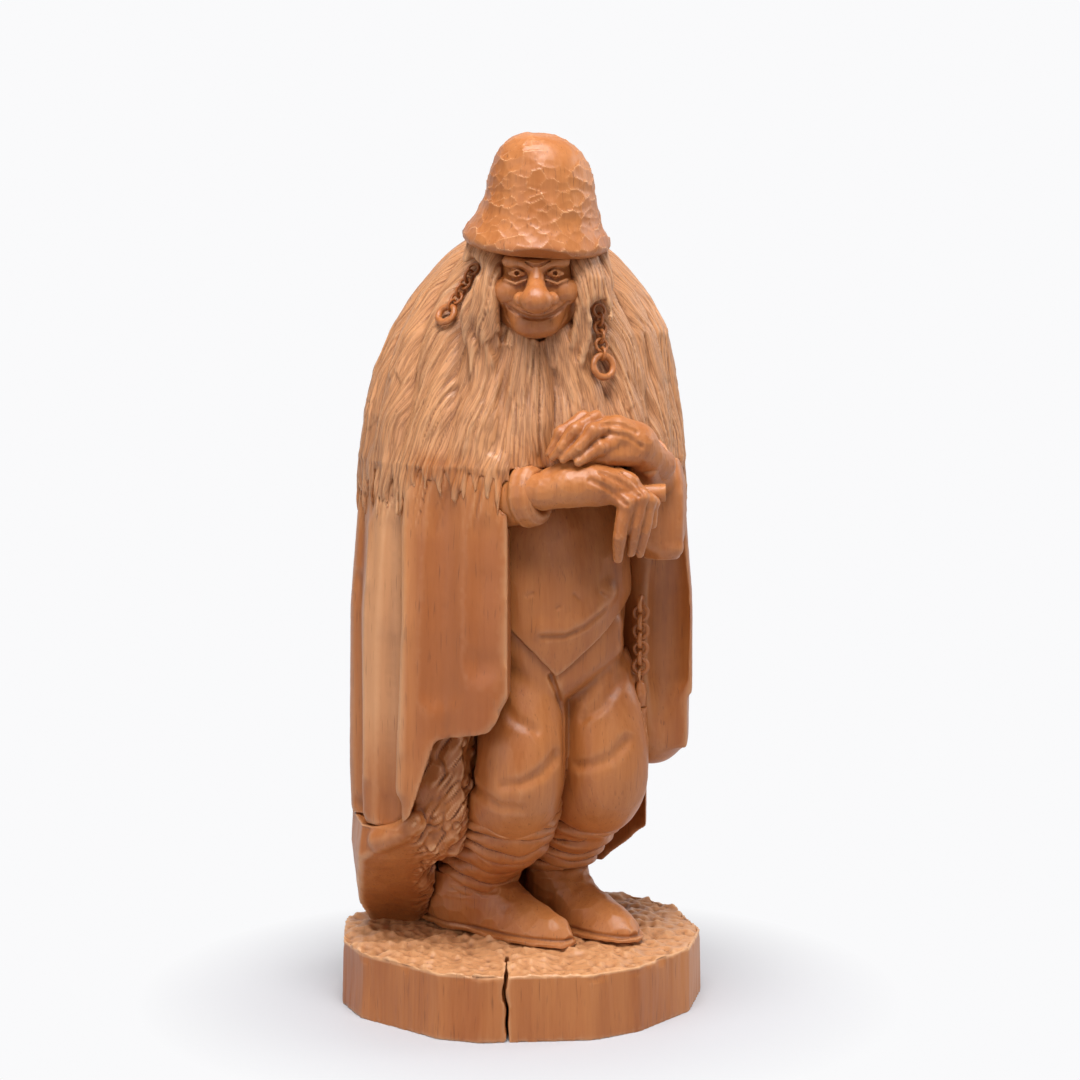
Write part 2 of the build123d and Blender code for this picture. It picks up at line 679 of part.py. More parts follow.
with BuildPart() as cloak:
    loft(
        [
            folded(Plane(above_base(*CLOAK_CENTRE, height)), *sizes)
            for height, *sizes in (*CLOAK_STATIONS, (SHOULDER_HEIGHT, *CLOAK_TOP))
        ],
        ruled=True,
    )
    with BuildSketch(Plane(above_base(*CLOAK_CENTRE))):
        with BuildLine():
            edges = [math.radians(azimuth) for azimuth in (OPENING_FROM, OPENING_TO)]
            Polyline((0, 0), *[(FAR * math.sin(edge), -FAR * math.cos(edge)) for edge in edges], close=True)
        make_face()
    extrude(amount=SHOULDER_HEIGHT, mode=Mode.SUBTRACT)
    with BuildSketch(Plane(above_base(*HOLLOW_CENTRE))):
        Ellipse(*HOLLOW_HALF)
    extrude(amount=SHOULDER_HEIGHT, mode=Mode.SUBTRACT)
    below_hem((*FRONT_HEM, (-FAR, FRONT_HEM[-1][1])), FRONT_HEM_DEPTH, -FAR)
    below_hem(((FAR, SIDE_HEM[0][1]), *SIDE_HEM), FAR, -FAR)
    below_hem(
        (SIDE_HEM[-1], *BACK_HEM, (BACK_HEM[-1][0], STUMP_SHOULDER), (-FAR, STUMP_SHOULDER)),
        FAR,
        FRONT_HEM_DEPTH,
    )
    cut_away(stump, right_sleeve, left_sleeve)
    peg_hole(*mantle_joints, *stump_head_joints)
    peg_hole(right_wrist, left_wrist, radius=WRIST_PEG_RADIUS, bite=WRIST_PEG_BITE)

# Hat and head
with BuildPart() as hat:
    for height, radius, drift in HAT_STATIONS:
        with BuildSketch(hat_joint.offset(height)):
            with Locations((drift, 0)):
                Circle(radius)
    loft()
    peg_hole(hat_joint)

with BuildPart() as head:
    middle = above_shoulder(*HEAD_CENTRE)
    front = middle - Vector(0, FACE_DEPTH, 0)
    ellipse_loft(
        [
            (Plane(middle + UP * height), half_width, half_depth)
            for height, half_width, half_depth in HEAD_STATIONS
        ]
    )
    with Locations(front - UP * NOSE_DROP):
        Sphere(NOSE_RADIUS)
    for side in (-1, 1):
        with Locations(front + Vector(side * NOSTRIL_SPREAD, 0, -NOSE_DROP)):
            Sphere(NOSTRIL_RADIUS)
        with Locations(front + Vector(side * CHEEK_SPREAD, CHEEK_RADIUS, -CHEEK_DROP)):
            Sphere(CHEEK_RADIUS)
        with Locations(front + Vector(side * EYE_SPREAD, 0, EYE_RISE)):
            Sphere(SOCKET_RADIUS, mode=Mode.SUBTRACT)
        with Locations(front + Vector(side * EYE_SPREAD, SOCKET_RADIUS - EYE_RADIUS / 2, EYE_RISE)):
            Sphere(EYE_RADIUS)
    with Locations(front + Vector(0, CHIN_RADIUS, -CHIN_DROP)):
        Sphere(CHIN_RADIUS)
    mouth = Plane(front + UP * MOUTH_RISE, (1, 0, 0), (0, -1, 0)).rotated((-MOUTH_LEAN, 0, 0))
    with BuildLine(mouth) as grin:
        CenterArc((0, 0), MOUTH_RADIUS, 270 - MOUTH_SPAN / 2, MOUTH_SPAN)
    with BuildSketch(Plane(grin.line @ 0, z_dir=grin.line % 0)):
        Circle(MOUTH_GROOVE)
    sweep(path=grin.line, mode=Mode.SUBTRACT)
    split(bisect_by=hat_joint, keep=Keep.BOTTOM)
    peg_hole(head_joint, hat_joint)

# Mantle, ear chains and ear rings
with BuildPart() as fur:
    ellipse_loft(
        [
            (Plane(above_shoulder(x, y, height)), half_width, half_depth)
            for height, half_width, half_depth, x, y, depth in MANTLE_STATIONS
        ]
    )


def lock_ridges(height):
    """The azimuths of the fur's locks, which sway a little from the shoulder up."""
    sway = LOCK_SWAY * math.sin(height / LOCK_WAVE)
    shifts = [LOCK_UNEVENNESS * math.sin(LOCK_RHYTHM * lock) for lock in range(LOCK_COUNT)]
    return [sway - 360 * (lock + shift) / LOCK_COUNT for lock, shift in enumerate(shifts)]


def hang_ear_ring(place, slope, ring):
    """A chain in relief on the fur, and the ring in its last link, with where they lie."""
    start, direction, outward = lay_on(fur.part, place, slope, EAR_LINK, EAR_LINKS)
    drop = EAR_LINK[0] - EAR_LINK[1] - ring[1] - LINK_GAP
    centre = start + direction * ((EAR_LINKS - 1) * link_pitch(EAR_LINK) + drop + ring[0])
    with BuildPart() as chain:
        chain_links(start, direction, outward, EAR_LINKS, EAR_LINK)
    with BuildPart() as loop:
        with Locations(square_to(centre, outward, UP)):
            Torus(*ring)
    return chain, loop, (start, direction), (centre, outward)


right_ear_chain, right_ear_ring, right_run, right_place = hang_ear_ring(RIGHT_EAR, RIGHT_EAR_SLOPE, RIGHT_RING)
left_ear_chain, left_ear_ring, left_run, left_place = hang_ear_ring(LEFT_EAR, LEFT_EAR_SLOPE, LEFT_RING)

with BuildPart() as mantle:
    loft(
        [
            folded(Plane(above_shoulder(x, y, height)), half_width, half_depth, depth, lock_ridges(height))
            for height, half_width, half_depth, x, y, depth in MANTLE_STATIONS
        ],
        ruled=True,
    )
    cut_away(head, hat, left_hand, right_hand, left_sleeve, right_sleeve)
    for run, place, ring in ((right_run, right_place, RIGHT_RING), (left_run, left_place, LEFT_RING)):
        chain_groove(*run, EAR_LINKS, EAR_LINK)
        ring_pocket(*place, ring)
    peg_hole(*mantle_joints, neck_joint, head_joint, hat_joint)
    peg_hole(right_wrist, left_wrist, radius=WRIST_PEG_RADIUS, bite=WRIST_PEG_BITE)

# Pegs
with BuildPart() as foot_pegs:
    peg(*foot_joints)
with BuildPart() as stump_pegs:
    peg(*stump_joints, *stump_head_joints)
with BuildPart() as ankle_pegs:
    peg(right_ankle, left_ankle)
with BuildPart() as knee_pegs:
    peg(right_cuff, left_cuff)
with BuildPart() as waist_peg:
    peg(waist_joint)
with BuildPart() as neck_peg:
    peg(neck_joint)
with BuildPart() as mantle_pegs:
    peg(*mantle_joints)
with BuildPart() as head_peg:
    peg(head_joint)
with BuildPart() as hat_peg:
    peg(hat_joint)
with BuildPart() as wrist_pegs:
    peg(right_wrist, left_wrist, radius=WRIST_PEG_RADIUS, bite=WRIST_PEG_BITE)

PIECES = {
    "base": base,
    "stump": stump,
    "right_shoe": right_shoe,
    "left_shoe": left_shoe,
    "right_stocking": right_stocking,
    "left_stocking": left_stocking,
    "breeches": breeches,
    "tunic": tunic,
    "cloak": cloak,
    "mantle": mantle,
    "head": head,
    "hat": hat,
    "right_sleeve": right_sleeve,
    "right_hand": right_hand,
    "left_sleeve": left_sleeve,
    "left_hand": left_hand,
    "stick": stick,
    "right_ear_chain": right_ear_chain,
    "right_ear_ring": right_ear_ring,
    "left_ear_chain": left_ear_chain,
    "left_ear_ring": left_ear_ring,
    "knife_chain": knife_chain,
    "knife": knife,
    "sheath": sheath,
    "foot_pegs": foot_pegs,
    "stump_pegs": stump_pegs,
    "ankle_pegs": ankle_pegs,
    "knee_pegs": knee_pegs,
    "waist_peg": waist_peg,
    "neck_peg": neck_peg,
    "mantle_pegs": mantle_pegs,
    "head_peg": head_peg,
    "hat_peg": hat_peg,
    "wrist_pegs": wrist_pegs,
}

os.makedirs("parts", exist_ok=True)
for name, piece in PIECES.items():
    piece.part.label = name
    export_step(piece.part, f"parts/{name}.step")
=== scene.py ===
# %% [markdown]
# # A carved wooden troll
# The figure stands about 31 cm tall and is cut in one warm, waxed wood. Gouges leave facets on the hat,
# V-tools leave the strands of the fur, and knives leave flat cuts on the base. The frame below gives
# each block of the figure at its real size. This lesson loads it, carves each block on a grid of
# distances, and gives all of them one wood finish.

# %% Load the frame
import math

import bpy
import numpy as np
import openvdb
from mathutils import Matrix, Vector


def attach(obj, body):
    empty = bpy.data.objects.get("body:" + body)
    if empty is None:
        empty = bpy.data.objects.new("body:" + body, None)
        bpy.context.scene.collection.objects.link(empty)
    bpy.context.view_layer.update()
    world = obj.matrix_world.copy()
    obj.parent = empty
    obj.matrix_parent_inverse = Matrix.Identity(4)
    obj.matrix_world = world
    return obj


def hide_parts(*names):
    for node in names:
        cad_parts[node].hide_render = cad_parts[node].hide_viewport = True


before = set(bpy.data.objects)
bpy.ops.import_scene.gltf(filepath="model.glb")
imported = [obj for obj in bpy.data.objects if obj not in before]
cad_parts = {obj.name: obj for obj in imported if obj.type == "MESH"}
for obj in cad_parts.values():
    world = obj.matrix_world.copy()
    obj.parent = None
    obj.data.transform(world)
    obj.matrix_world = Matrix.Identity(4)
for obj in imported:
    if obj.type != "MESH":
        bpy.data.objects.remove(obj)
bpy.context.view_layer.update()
MM = 0.001

# %% [markdown]
# ## The view
# The photograph was taken from about a metre away, at the height of the hat, with a long lens tipped
# down a little. A camera could be placed by eye at the end. Set first, and as numbers, it lets every
# later step be compared with the photograph.

# %% Camera
CAMERA_PLACE = (0.0072, -1.0, 0.290)
CAMERA_TILT = 7.0
PHOTO_FOCAL_PIXELS = 2790
PHOTO_PIXELS = 1080
SENSOR_WIDTH = 36.0


def place_object(name, data):
    """A new object in the scene."""
    thing = bpy.data.objects.new(name, data)
    bpy.context.scene.collection.objects.link(thing)
    return thing


lens = bpy.data.cameras.new("camera")
lens.sensor_width = SENSOR_WIDTH
lens.lens = PHOTO_FOCAL_PIXELS / PHOTO_PIXELS * SENSOR_WIDTH
lens.clip_start = 0.01
camera = place_object("camera", lens)
camera.location = CAMERA_PLACE
camera.rotation_euler = (math.radians(90 - CAMERA_TILT), 0, 0)
bpy.context.scene.camera = camera
print("lens", round(lens.lens, 1), "mm")

# %% [markdown]
# ## A block of wood as a grid of distances
# A carver takes wood away and leaves wood standing, and the surface is whatever is left. A grid that
# holds, at each point, the distance to the surface works the same way: a smooth maximum or minimum of
# two grids cuts or joins two shapes with a rounded crease, however their surfaces cross. The grid starts
# from a frame node, and turns back into a mesh at the end.

# %% Carving block
BAND = 5.0


def smooth_least(first, second, blend):
    """The smaller of two distances, with the crease between them rounded over about blend."""
    share = np.clip(0.5 + 0.5 * (second - first) / blend, 0, 1)
    return second + (first - second) * share - blend * share * (1 - share)


class Block:
    """Signed distances in millimetres on a grid, negative in the wood."""

    def __init__(self, low, high, step):
        self.step = step
        self.low = np.floor(np.array(low) / step).astype(int)
        self.shape = np.ceil(np.array(high) / step).astype(int) - self.low + 1
        self.depth = np.full(self.shape, BAND, np.float32)

    def points(self, low, high):
        """The grid's points between two corners, as three open arrays, and where they are in the grid."""
        start = np.clip(np.floor(np.array(low) / self.step).astype(int) - self.low, 0, self.shape)
        stop = np.clip(np.ceil(np.array(high) / self.step).astype(int) - self.low + 1, 0, self.shape)
        place = tuple(slice(a, b) for a, b in zip(start, stop))
        axes = [(np.arange(a, b) + c) * self.step for a, b, c in zip(start, stop, self.low)]
        return np.meshgrid(*[axis.astype(np.float32) for axis in axes], indexing="ij", sparse=True), place

    def work(self, form, blend, sign):
        """Joins the form to the wood, or to the air around it when the sign is -1."""
        low, high, distance = form
        grid, place = self.points(low - BAND, high + BAND)
        self.depth[place] = sign * smooth_least(sign * self.depth[place], distance(*grid), blend)

    def add(self, form, blend):
        """Leaves wood standing where the form is."""
        self.work(form, blend, 1)

    def cut(self, form, blend):
        """Takes wood away where the form is."""
        self.work(form, blend, -1)

    def keep(self, distance):
        """Keeps only the wood where this distance is negative."""
        grid = self.points(self.low * self.step, (self.low + self.shape) * self.step)[0]
        self.depth = np.maximum(self.depth, distance(*grid)).astype(np.float32)

    def read(self, grid):
        """The distances that another grid has at this block's points."""
        depth = np.empty(self.shape, np.float32)
        grid.copyToArray(depth, ijk=tuple(int(n) for n in self.low))
        return depth

    def surface(self):
        """The corner points and the four-sided faces of the wood's surface."""
        grid = openvdb.FloatGrid(BAND)
        grid.transform = openvdb.createLinearTransform(self.step)
        grid.copyFromArray(np.clip(self.depth, -BAND, BAND), ijk=tuple(int(n) for n in self.low))
        corners, _, quads = grid.convertToPolygons(isovalue=0)
        return corners.astype(np.float64), quads.astype(np.int64)


print("carving grid ready, band", BAND, "mm")

# %% [markdown]
# ## Blocks from the frame
# A frame node is a mesh, and OpenVDB turns a mesh into distances in one call. Each block gets some room
# around it, for wood that is left standing outside the node. A remesh modifier works in the same way
# inside, but it gives no grid to cut.

# %% Frame nodes as blocks
LEAST_ROOM = 4.0


def corners_of(mesh):
    """The points of a mesh, in metres."""
    corners = np.empty(3 * len(mesh.vertices), np.float32)
    mesh.vertices.foreach_get("co", corners)
    return corners.reshape(-1, 3)


def level_set(node, step):
    """The distances around a frame node, and the node's corner points in millimetres."""
    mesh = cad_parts[node].data
    mesh.calc_loop_triangles()
    corners = corners_of(mesh) / MM
    triangles = np.empty(3 * len(mesh.loop_triangles), np.int32)
    mesh.loop_triangles.foreach_get("vertices", triangles)
    grid = openvdb.FloatGrid.createLevelSetFromPolygons(
        corners,
        triangles=triangles.reshape(-1, 3).astype(np.uint32),
        transform=openvdb.createLinearTransform(step),
        halfWidth=BAND / step,
    )
    return grid, corners


def block_of(node, step, room=LEAST_ROOM):
    """The block that a frame node fills, with some room around it."""
    grid, corners = level_set(node, step)
    block = Block(corners.min(0) - room, corners.max(0) + room, step)
    block.depth = block.read(grid)
    return block


print("frame nodes become blocks with", LEAST_ROOM, "mm of room")

# %% [markdown]
# ## Eggs, rods and lines
# A carver thinks in simple forms: an egg for a cheek, a rod for a finger or a fold. Each form is a
# distance and the box in which it matters, so that a cut touches only a part of the grid. A fold lies on
# the wood, so its line is laid on the front of the block first. Metaballs could join in the same way,
# but they could not cut.

# %% Eggs, rods and lines
LINE_STEP = 3.0


def ball(centre, radii):
    """An egg shape with three half sizes."""
    centre = np.array(centre, float)
    radii = np.broadcast_to(np.array(radii, float), 3)

    def distance(x, y, z):
        offset = (x - centre[0], y - centre[1], z - centre[2])
        near = np.sqrt(sum((side / radius) ** 2 for side, radius in zip(offset, radii)))
        steep = np.sqrt(sum((side / radius**2) ** 2 for side, radius in zip(offset, radii)))
        return near * (near - 1) / np.maximum(steep, 1e-6)

    return centre - radii, centre + radii, distance


def rod(points, radii):
    """A round rod through the points, with a radius at each of them."""
    points = np.array(points, float)
    radii = np.broadcast_to(np.array(radii, float), len(points))

    def distance(x, y, z):
        nearest = None
        for start, end, first, last in zip(points[:-1], points[1:], radii[:-1], radii[1:]):
            run = end - start
            offset = (x - start[0], y - start[1], z - start[2])
            along = sum(side * part for side, part in zip(offset, run)) / (run @ run)
            along = np.clip(along, 0, 1)
            away = np.sqrt(sum((side - part * along) ** 2 for side, part in zip(offset, run)))
            away = away - (first + (last - first) * along)
            nearest = away if nearest is None else np.minimum(nearest, away)
        return nearest

    reach = radii.max()
    return points.min(0) - reach, points.max(0) + reach, distance


def laid(block, points, sink):
    """A line on the front of a block, from points of (x, z), moved this far back into the wood."""
    points = np.array(points, float)
    line = []
    for start, end in zip(points[:-1], points[1:]):
        count = int(np.ceil(np.linalg.norm(end - start) / LINE_STEP))
        line.extend(start + (end - start) * number / count for number in range(count))
    line.append(points[-1])
    places = []
    for x, z in line:
        column, row = (int(round(value / block.step)) - block.low[axis] for value, axis in ((x, 0), (z, 2)))
        depths = block.depth[column, :, row]
        front = int(np.argmax(depths < 0))
        if front > 0:
            share = depths[front - 1] / (depths[front - 1] - depths[front])
            places.append((x, (front - 1 + share + block.low[1]) * block.step + sink, z))
    return places


def tapered(line, first, last):
    """A round rod along a line, with its radius running from first to last."""
    return rod(line, np.linspace(first, last, len(line)))


print("lines are laid in steps of", LINE_STEP, "mm")

# %% [markdown]
# ## Tool marks
# Every tool leaves its own mark. A gouge leaves shallow scoops that meet in sharp ridges: those are
# cells around scattered points, each hollowed towards its middle. A V-tool leaves long strands: that is
# a random field squeezed along the way that the hair lies. Both are worked out from seeded numbers, so
# that every run carves the same figure.

# %% Scattered numbers, noise and cells


def scatter(cell, seed):
    """A number from 0 to 1 for each whole-numbered cell."""
    mixed = cell[..., 0] * 374761393 + cell[..., 1] * 668265263 + cell[..., 2] * 1274126177 + seed * 974711
    mixed = (mixed ^ (mixed >> 13)) * 1103515245 & 0x7FFFFFFF
    mixed = (mixed ^ (mixed >> 11)) * 12345701 & 0x7FFFFFFF
    return (mixed ^ (mixed >> 15)) / 0x7FFFFFFF


def noise(points, size, seed):
    """Smooth random heights from -1 to 1, with bumps about as wide as size."""
    scaled = points / size
    cell = np.floor(scaled).astype(np.int64)
    share = scaled - cell
    share = share * share * (3 - 2 * share)
    total = 0
    for corner in np.ndindex(2, 2, 2):
        weight = np.prod(np.where(np.array(corner) == 1, share, 1 - share), axis=-1)
        total = total + weight * scatter(cell + np.array(corner), seed)
    return 2 * total - 1


def cells(points, size, seed):
    """Distance to the nearest scattered point, and the way from it."""
    scaled = points / size
    cell = np.floor(scaled).astype(np.int64)
    nearest = np.full(len(points), 9.0)
    way = np.zeros_like(points)
    for corner in np.ndindex(3, 3, 3):
        around = cell + np.array(corner) - 1
        spot = around + np.stack([scatter(around, seed + axis) for axis in range(3)], -1)
        offset = scaled - spot
        away = np.linalg.norm(offset, axis=1)
        closer = away < nearest
        nearest = np.where(closer, away, nearest)
        way[closer] = offset[closer]
    return nearest, way


def scoops(points, size, depth, seed, stretch=(1, 1, 1)):
    """Gouge cuts about size wide: hollow in the middle, with ridges where they meet."""
    nearest = cells(points / np.array(stretch), size, seed)[0]
    return -depth * (1 - np.minimum(nearest, 1) ** 2)


def ramp(values, start, reach):
    """From 0 to 1 while the values go from start over reach."""
    return np.clip((values - start) / reach, 0, 1)


def groove(heights, width):
    """A V-cut wherever the heights pass through zero."""
    return -np.clip(1 - np.abs(heights) / width, 0, 1)


print("noise check", round(float(noise(np.array([[1.0, 2.0, 3.0]]), size=1.7, seed=1)[0]), 4))

# %% [markdown]
# ## From block to finished piece
# The grid becomes a mesh, each corner point moves along its normal by the depth of the tool marks, and a
# last pass measures how hollow or proud each point is. The wood finish reads that measure: wax and dust
# gather in the fine hollows and hands polish the ridges, while shade is painted into the wider recesses
# and a highlight is painted on the ridges and proud parts.

# %% Finishing a piece
WIDE_PASSES = 16
pieces = {}


def spread(values, edges, count):
    """Each point's mean over its neighbours."""
    total = np.zeros((count, values.shape[1]))
    for start, end in ((0, 1), (1, 0)):
        for axis in range(values.shape[1]):
            total[:, axis] += np.bincount(edges[:, start], values[edges[:, end], axis], count)
    return total / np.bincount(edges.ravel(), minlength=count)[:, None]


def normals_of(mesh):
    """The normals of a mesh's points."""
    normals = np.empty(3 * len(mesh.vertices), np.float32)
    mesh.vertex_normals.foreach_get("vector", normals)
    return normals.reshape(-1, 3).astype(float)


def move_points(mesh, corners):
    """Puts the points of a mesh at these places, in millimetres."""
    mesh.vertices.foreach_set("co", (corners * MM).ravel())
    mesh.update()


def keep_number(mesh, name, values):
    """Stores a number for each point, for the wood finish to read."""
    mesh.attributes.new(name, "FLOAT", "POINT").data.foreach_set("value", values.astype(np.float32))


def finish_piece(name, block, marks, relax=1, settle=0.0, flow=None, shape=None, painted_shading=None):
    """Turns a block into the mesh of the node of that name, with tool marks of marks(points, normals)."""
    corners, faces = block.surface()
    if shape is not None:
        corners = shape(corners)
    mesh = bpy.data.meshes.new(name)
    mesh.from_pydata(corners * MM, [], faces.tolist())
    edges = np.empty(2 * len(mesh.edges), np.int32)
    mesh.edges.foreach_get("vertices", edges)
    edges = edges.reshape(-1, 2)
    count = len(corners)
    for _ in range(relax):
        corners = 0.5 * corners + 0.5 * spread(corners, edges, count)
    move_points(mesh, corners)
    if flow is not None:
        lie = mesh.attributes.new("flow", "FLOAT_VECTOR", "POINT")
        lie.data.foreach_set("vector", flow(corners).astype(np.float32).ravel())
    if painted_shading is not None:
        keep_number(mesh, "painted_shading", painted_shading(corners))
    normals = normals_of(mesh)
    corners = corners + normals * marks(corners, normals)[:, None]
    corners = corners + settle * (spread(corners, edges, count) - corners)
    move_points(mesh, corners)
    normals = normals_of(mesh)
    near = spread(corners, edges, count)
    keep_number(mesh, "hollow", ((near - corners) * normals).sum(1) / block.step)
    for _ in range(WIDE_PASSES):
        near = spread(near, edges, count)
    keep_number(mesh, "recess", ((near - corners) * normals).sum(1))
    mesh.shade_smooth()
    pieces[name] = place_object(name + "_carved", mesh)
    print(name, count, "points,", 2 * len(faces), "triangles")


print("recesses are measured over", WIDE_PASSES, "passes")

# %% [markdown]
# ## Base
# The base is a slice of log: long flat knife cuts round its side, a top hacked rough with a gouge, and
# one drying crack. A displacement texture could roughen it, but marks worked out point by point can
# differ on top and side, and they end up in the mesh itself. The crack is a wandering wedge, cut from
# the grid.

# %% Base
CRACK_X = -4.5
CRACK_HALF_WIDTH = 0.48
CRACK_END = -36.0
# Light from above is painted onto the base's top, above this height.
PAINTED_LIGHT_ABOVE = 22.6
PAINTED_TOP_LIGHT = -0.6


def base_marks(points, normals):
    """Scoops of a gouge on top, fibres and chips on the side, and nothing underneath."""
    top = ramp(normals[:, 2], 0.2, 0.4)
    bottom = ramp(-normals[:, 2], 0.4, 0.3)
    hacked = scoops(points, size=8.0, depth=2.6, seed=11, stretch=(1.4, 1, 1))
    hacked = hacked + scoops(points, size=4.2, depth=0.9, seed=12, stretch=(1, 1.5, 1))
    hacked = hacked + 0.8 * noise(points, size=2.2, seed=13) + 1.2 * noise(points, size=17, seed=14) + 2.0
    side = 0.15 * noise(points * np.array([1, 1, 0.08]), size=1.8, seed=15)
    side = side + 0.4 * noise(points, size=15, seed=16)
    chips = -1.6 * np.clip(noise(points, size=5, seed=17) - 0.1, 0, 1) * ramp(points[:, 2], 20, 4)
    return (top * hacked + (1 - top) * (side + chips)) * (1 - bottom)


def crack(x, y, z):
    """The drying crack: a thin wedge that wanders a little on its way up."""
    middle = CRACK_X + 0.5 * np.sin(z / 4.0) + 0.35 * np.sin(z / 1.7 + 1)
    return np.maximum(np.abs(x - middle) - CRACK_HALF_WIDTH, y - CRACK_END)


base = block_of("base", step=0.66)
base.cut((np.array([CRACK_X - 2, -72.0, -1.0]), np.array([CRACK_X + 2, CRACK_END, 30.0]), crack), blend=0.1)
# The base's top gets painted light.
finish_piece("base", base, base_marks, painted_shading=lambda points: PAINTED_TOP_LIGHT * (points[:, 2] > PAINTED_LIGHT_ABOVE))

# %% [markdown]
# ## Stump
# Beside the right leg a rough block is left standing, which carries the cloak. Its outside is planed,
# and near the leg its fibres are torn. It could be a cube with a noisy surface, but it has to fit round
# boot and leg, so the grid of its frame node is cut back wherever they are. Low torn wood goes on behind
# the legs.

# %% Stump
GROUND = 24.0
RIGHT_SHAFT = ((-18.0, 6.5, 32.0), (-17.0, 4.5, 46.0))
SHAFT_HALF = 16.2
RIGHT_CALF = ((-14.5, 1.0, 47.0), (-11.5, -5.0, 57.0), (-5.0, -16.0, 67.0), (-2.0, -24.0, 76.0))
CALF_RADII = (14.6, 15.4, 17.6, 17.0)
TORN_WOOD = ((-20, 33, 36), (2, 35, 38), (15, 36, 36))
HEM_REST = ((-50, -29, 64), (-43, -33, 67), (-37, -35, 71))
TOE_ROOM = ((-25, -13, 24), (-24, -13, 44), (-20, -17, 52))
FIBRE_TURN = np.array([[0.8, 0, 0.6], [0, 1, 0], [-0.6, 0, 0.8]])


def stump_marks(points, normals):
    """Planed cuts on the outside, and torn fibres near the leg."""
    planed_side = ramp(-points[:, 0], 33, 8)
    hem = ramp(points[:, 2], 57, 11)
    fibres = points @ FIBRE_TURN * np.array([1, 1, 0.25])
    torn = 1.1 * groove(noise(fibres, size=2.2, seed=22), width=0.4) + 0.5 * noise(fibres, size=1.5, seed=21)
    torn = torn + 1.2 * noise(points, size=6, seed=23)
    planed = scoops(points, size=12, depth=0.7, seed=24, stretch=(1, 1, 2.2))
    planed = planed + 0.1 * noise(points, size=3, seed=25) + 1.8 - 2.0 * hem
    return (planed_side * planed + (1 - planed_side) * (torn + 0.4)) * np.clip(1.2 - normals[:, 2], 0, 1)


stump = block_of("stump", step=0.65, room=36.0)
stump.add(rod(TORN_WOOD, (10, 9, 7)), blend=5.0)
stump.add(rod(HEM_REST, 4.0), blend=2.0)
stump.cut(rod(TOE_ROOM, (12, 11.5, 9)), blend=2.0)
stump.cut(rod(RIGHT_SHAFT, SHAFT_HALF + 0.4), blend=0.5)
stump.cut(rod(RIGHT_CALF, [radius + 0.6 for radius in CALF_RADII]), blend=0.5)
stump.keep(lambda x, y, z: GROUND - z)
finish_piece("stump", stump, stump_marks)

# %% [markdown]
# ## Shoes and stockings
# The shoes are nearly smooth, with small knife flats and a welt above the sole, and the stockings sag in
# rolls. The rolls could be modelled ring by ring. One wave that runs round the leg, tilted and uneven,
# gives them all, and they never look stacked.

# %% Shoes and stockings
SOLE_TOP = 27.2
ROLL_HEIGHT = 4.8
SHOE_TOP = 46.5
RIGHT_INSTEP = ((-14, 1, 37), (0, -12, 32), (12, -23, 29))
LEFT_INSTEP = ((14, 11, 40), (22, 1, 34), (35, -14, 29))


def shoe_marks(points, normals):
    """Small knife flats, a welt above the sole, and creases at the ankle."""
    welt = -0.7 * np.exp(-(((points[:, 2] - SOLE_TOP - 0.5 * noise(points, size=20, seed=30)) / 0.55) ** 2))
    ankle = ramp(points[:, 2], 34, 6)
    creases = 0.45 * np.abs(noise(points * np.array([1, 1, 2.2]), size=5, seed=33)) * ankle
    flats = scoops(points, size=5.4, depth=0.8, seed=31, stretch=(1.3, 1.3, 1))
    return flats + 0.1 * noise(points, size=2.2, seed=32) + welt - creases


def stocking_marks(points, normals):
    """Rolls that go round the leg, tilted and uneven."""
    turn = np.arctan2(normals[:, 0], -normals[:, 1])
    roll = points[:, 2] / ROLL_HEIGHT + 0.75 * np.sin(turn + 0.9) + 0.5 * noise(points, size=10, seed=41)
    rise = roll - np.floor(roll)
    bulge = np.sqrt(np.clip(1 - (2 * rise - 1) ** 2, 0, 1))
    return (2.2 - 1.0 * np.sin(turn + 0.4)) * (bulge - 0.75) + 0.2 * noise(points, size=3, seed=42)


def beyond_shoe(x, y, z):
    """How far a point is above the top of the shoes or below the ground."""
    return np.maximum(z - SHOE_TOP, GROUND - z)


right_shoe = block_of("right_shoe", step=0.5, room=8.0)
right_shoe.add(rod(RIGHT_SHAFT, SHAFT_HALF), blend=3.0)
right_shoe.add(rod(RIGHT_INSTEP, (13, 8.5, 6)), blend=4.0)
right_shoe.keep(beyond_shoe)
left_shoe = block_of("left_shoe", step=0.5, room=8.0)
left_shoe.add(rod(LEFT_INSTEP, (10.5, 8.5, 6)), blend=4.0)
left_shoe.keep(beyond_shoe)
finish_piece("right_shoe", right_shoe, shoe_marks)
finish_piece("left_shoe", left_shoe, shoe_marks)
right_stocking = block_of("right_stocking", step=0.5, room=8.0)
right_stocking.add(rod(RIGHT_CALF, CALF_RADII), blend=2.0)
finish_piece("right_stocking", right_stocking, stocking_marks)
finish_piece("left_stocking", block_of("left_stocking", step=0.5), stocking_marks)

# %% [markdown]
# ## Breeches and tunic
# Baggy cloth cut in wood has broad soft scoops, and a few folds where it is pulled. Cloth could be
# simulated, but a carver's folds are bold cuts, so each is a line laid on the front of the block, with a
# rod cut away or left standing along it. The thighs are drawn up to the tunic's pointed hem in the same
# way.

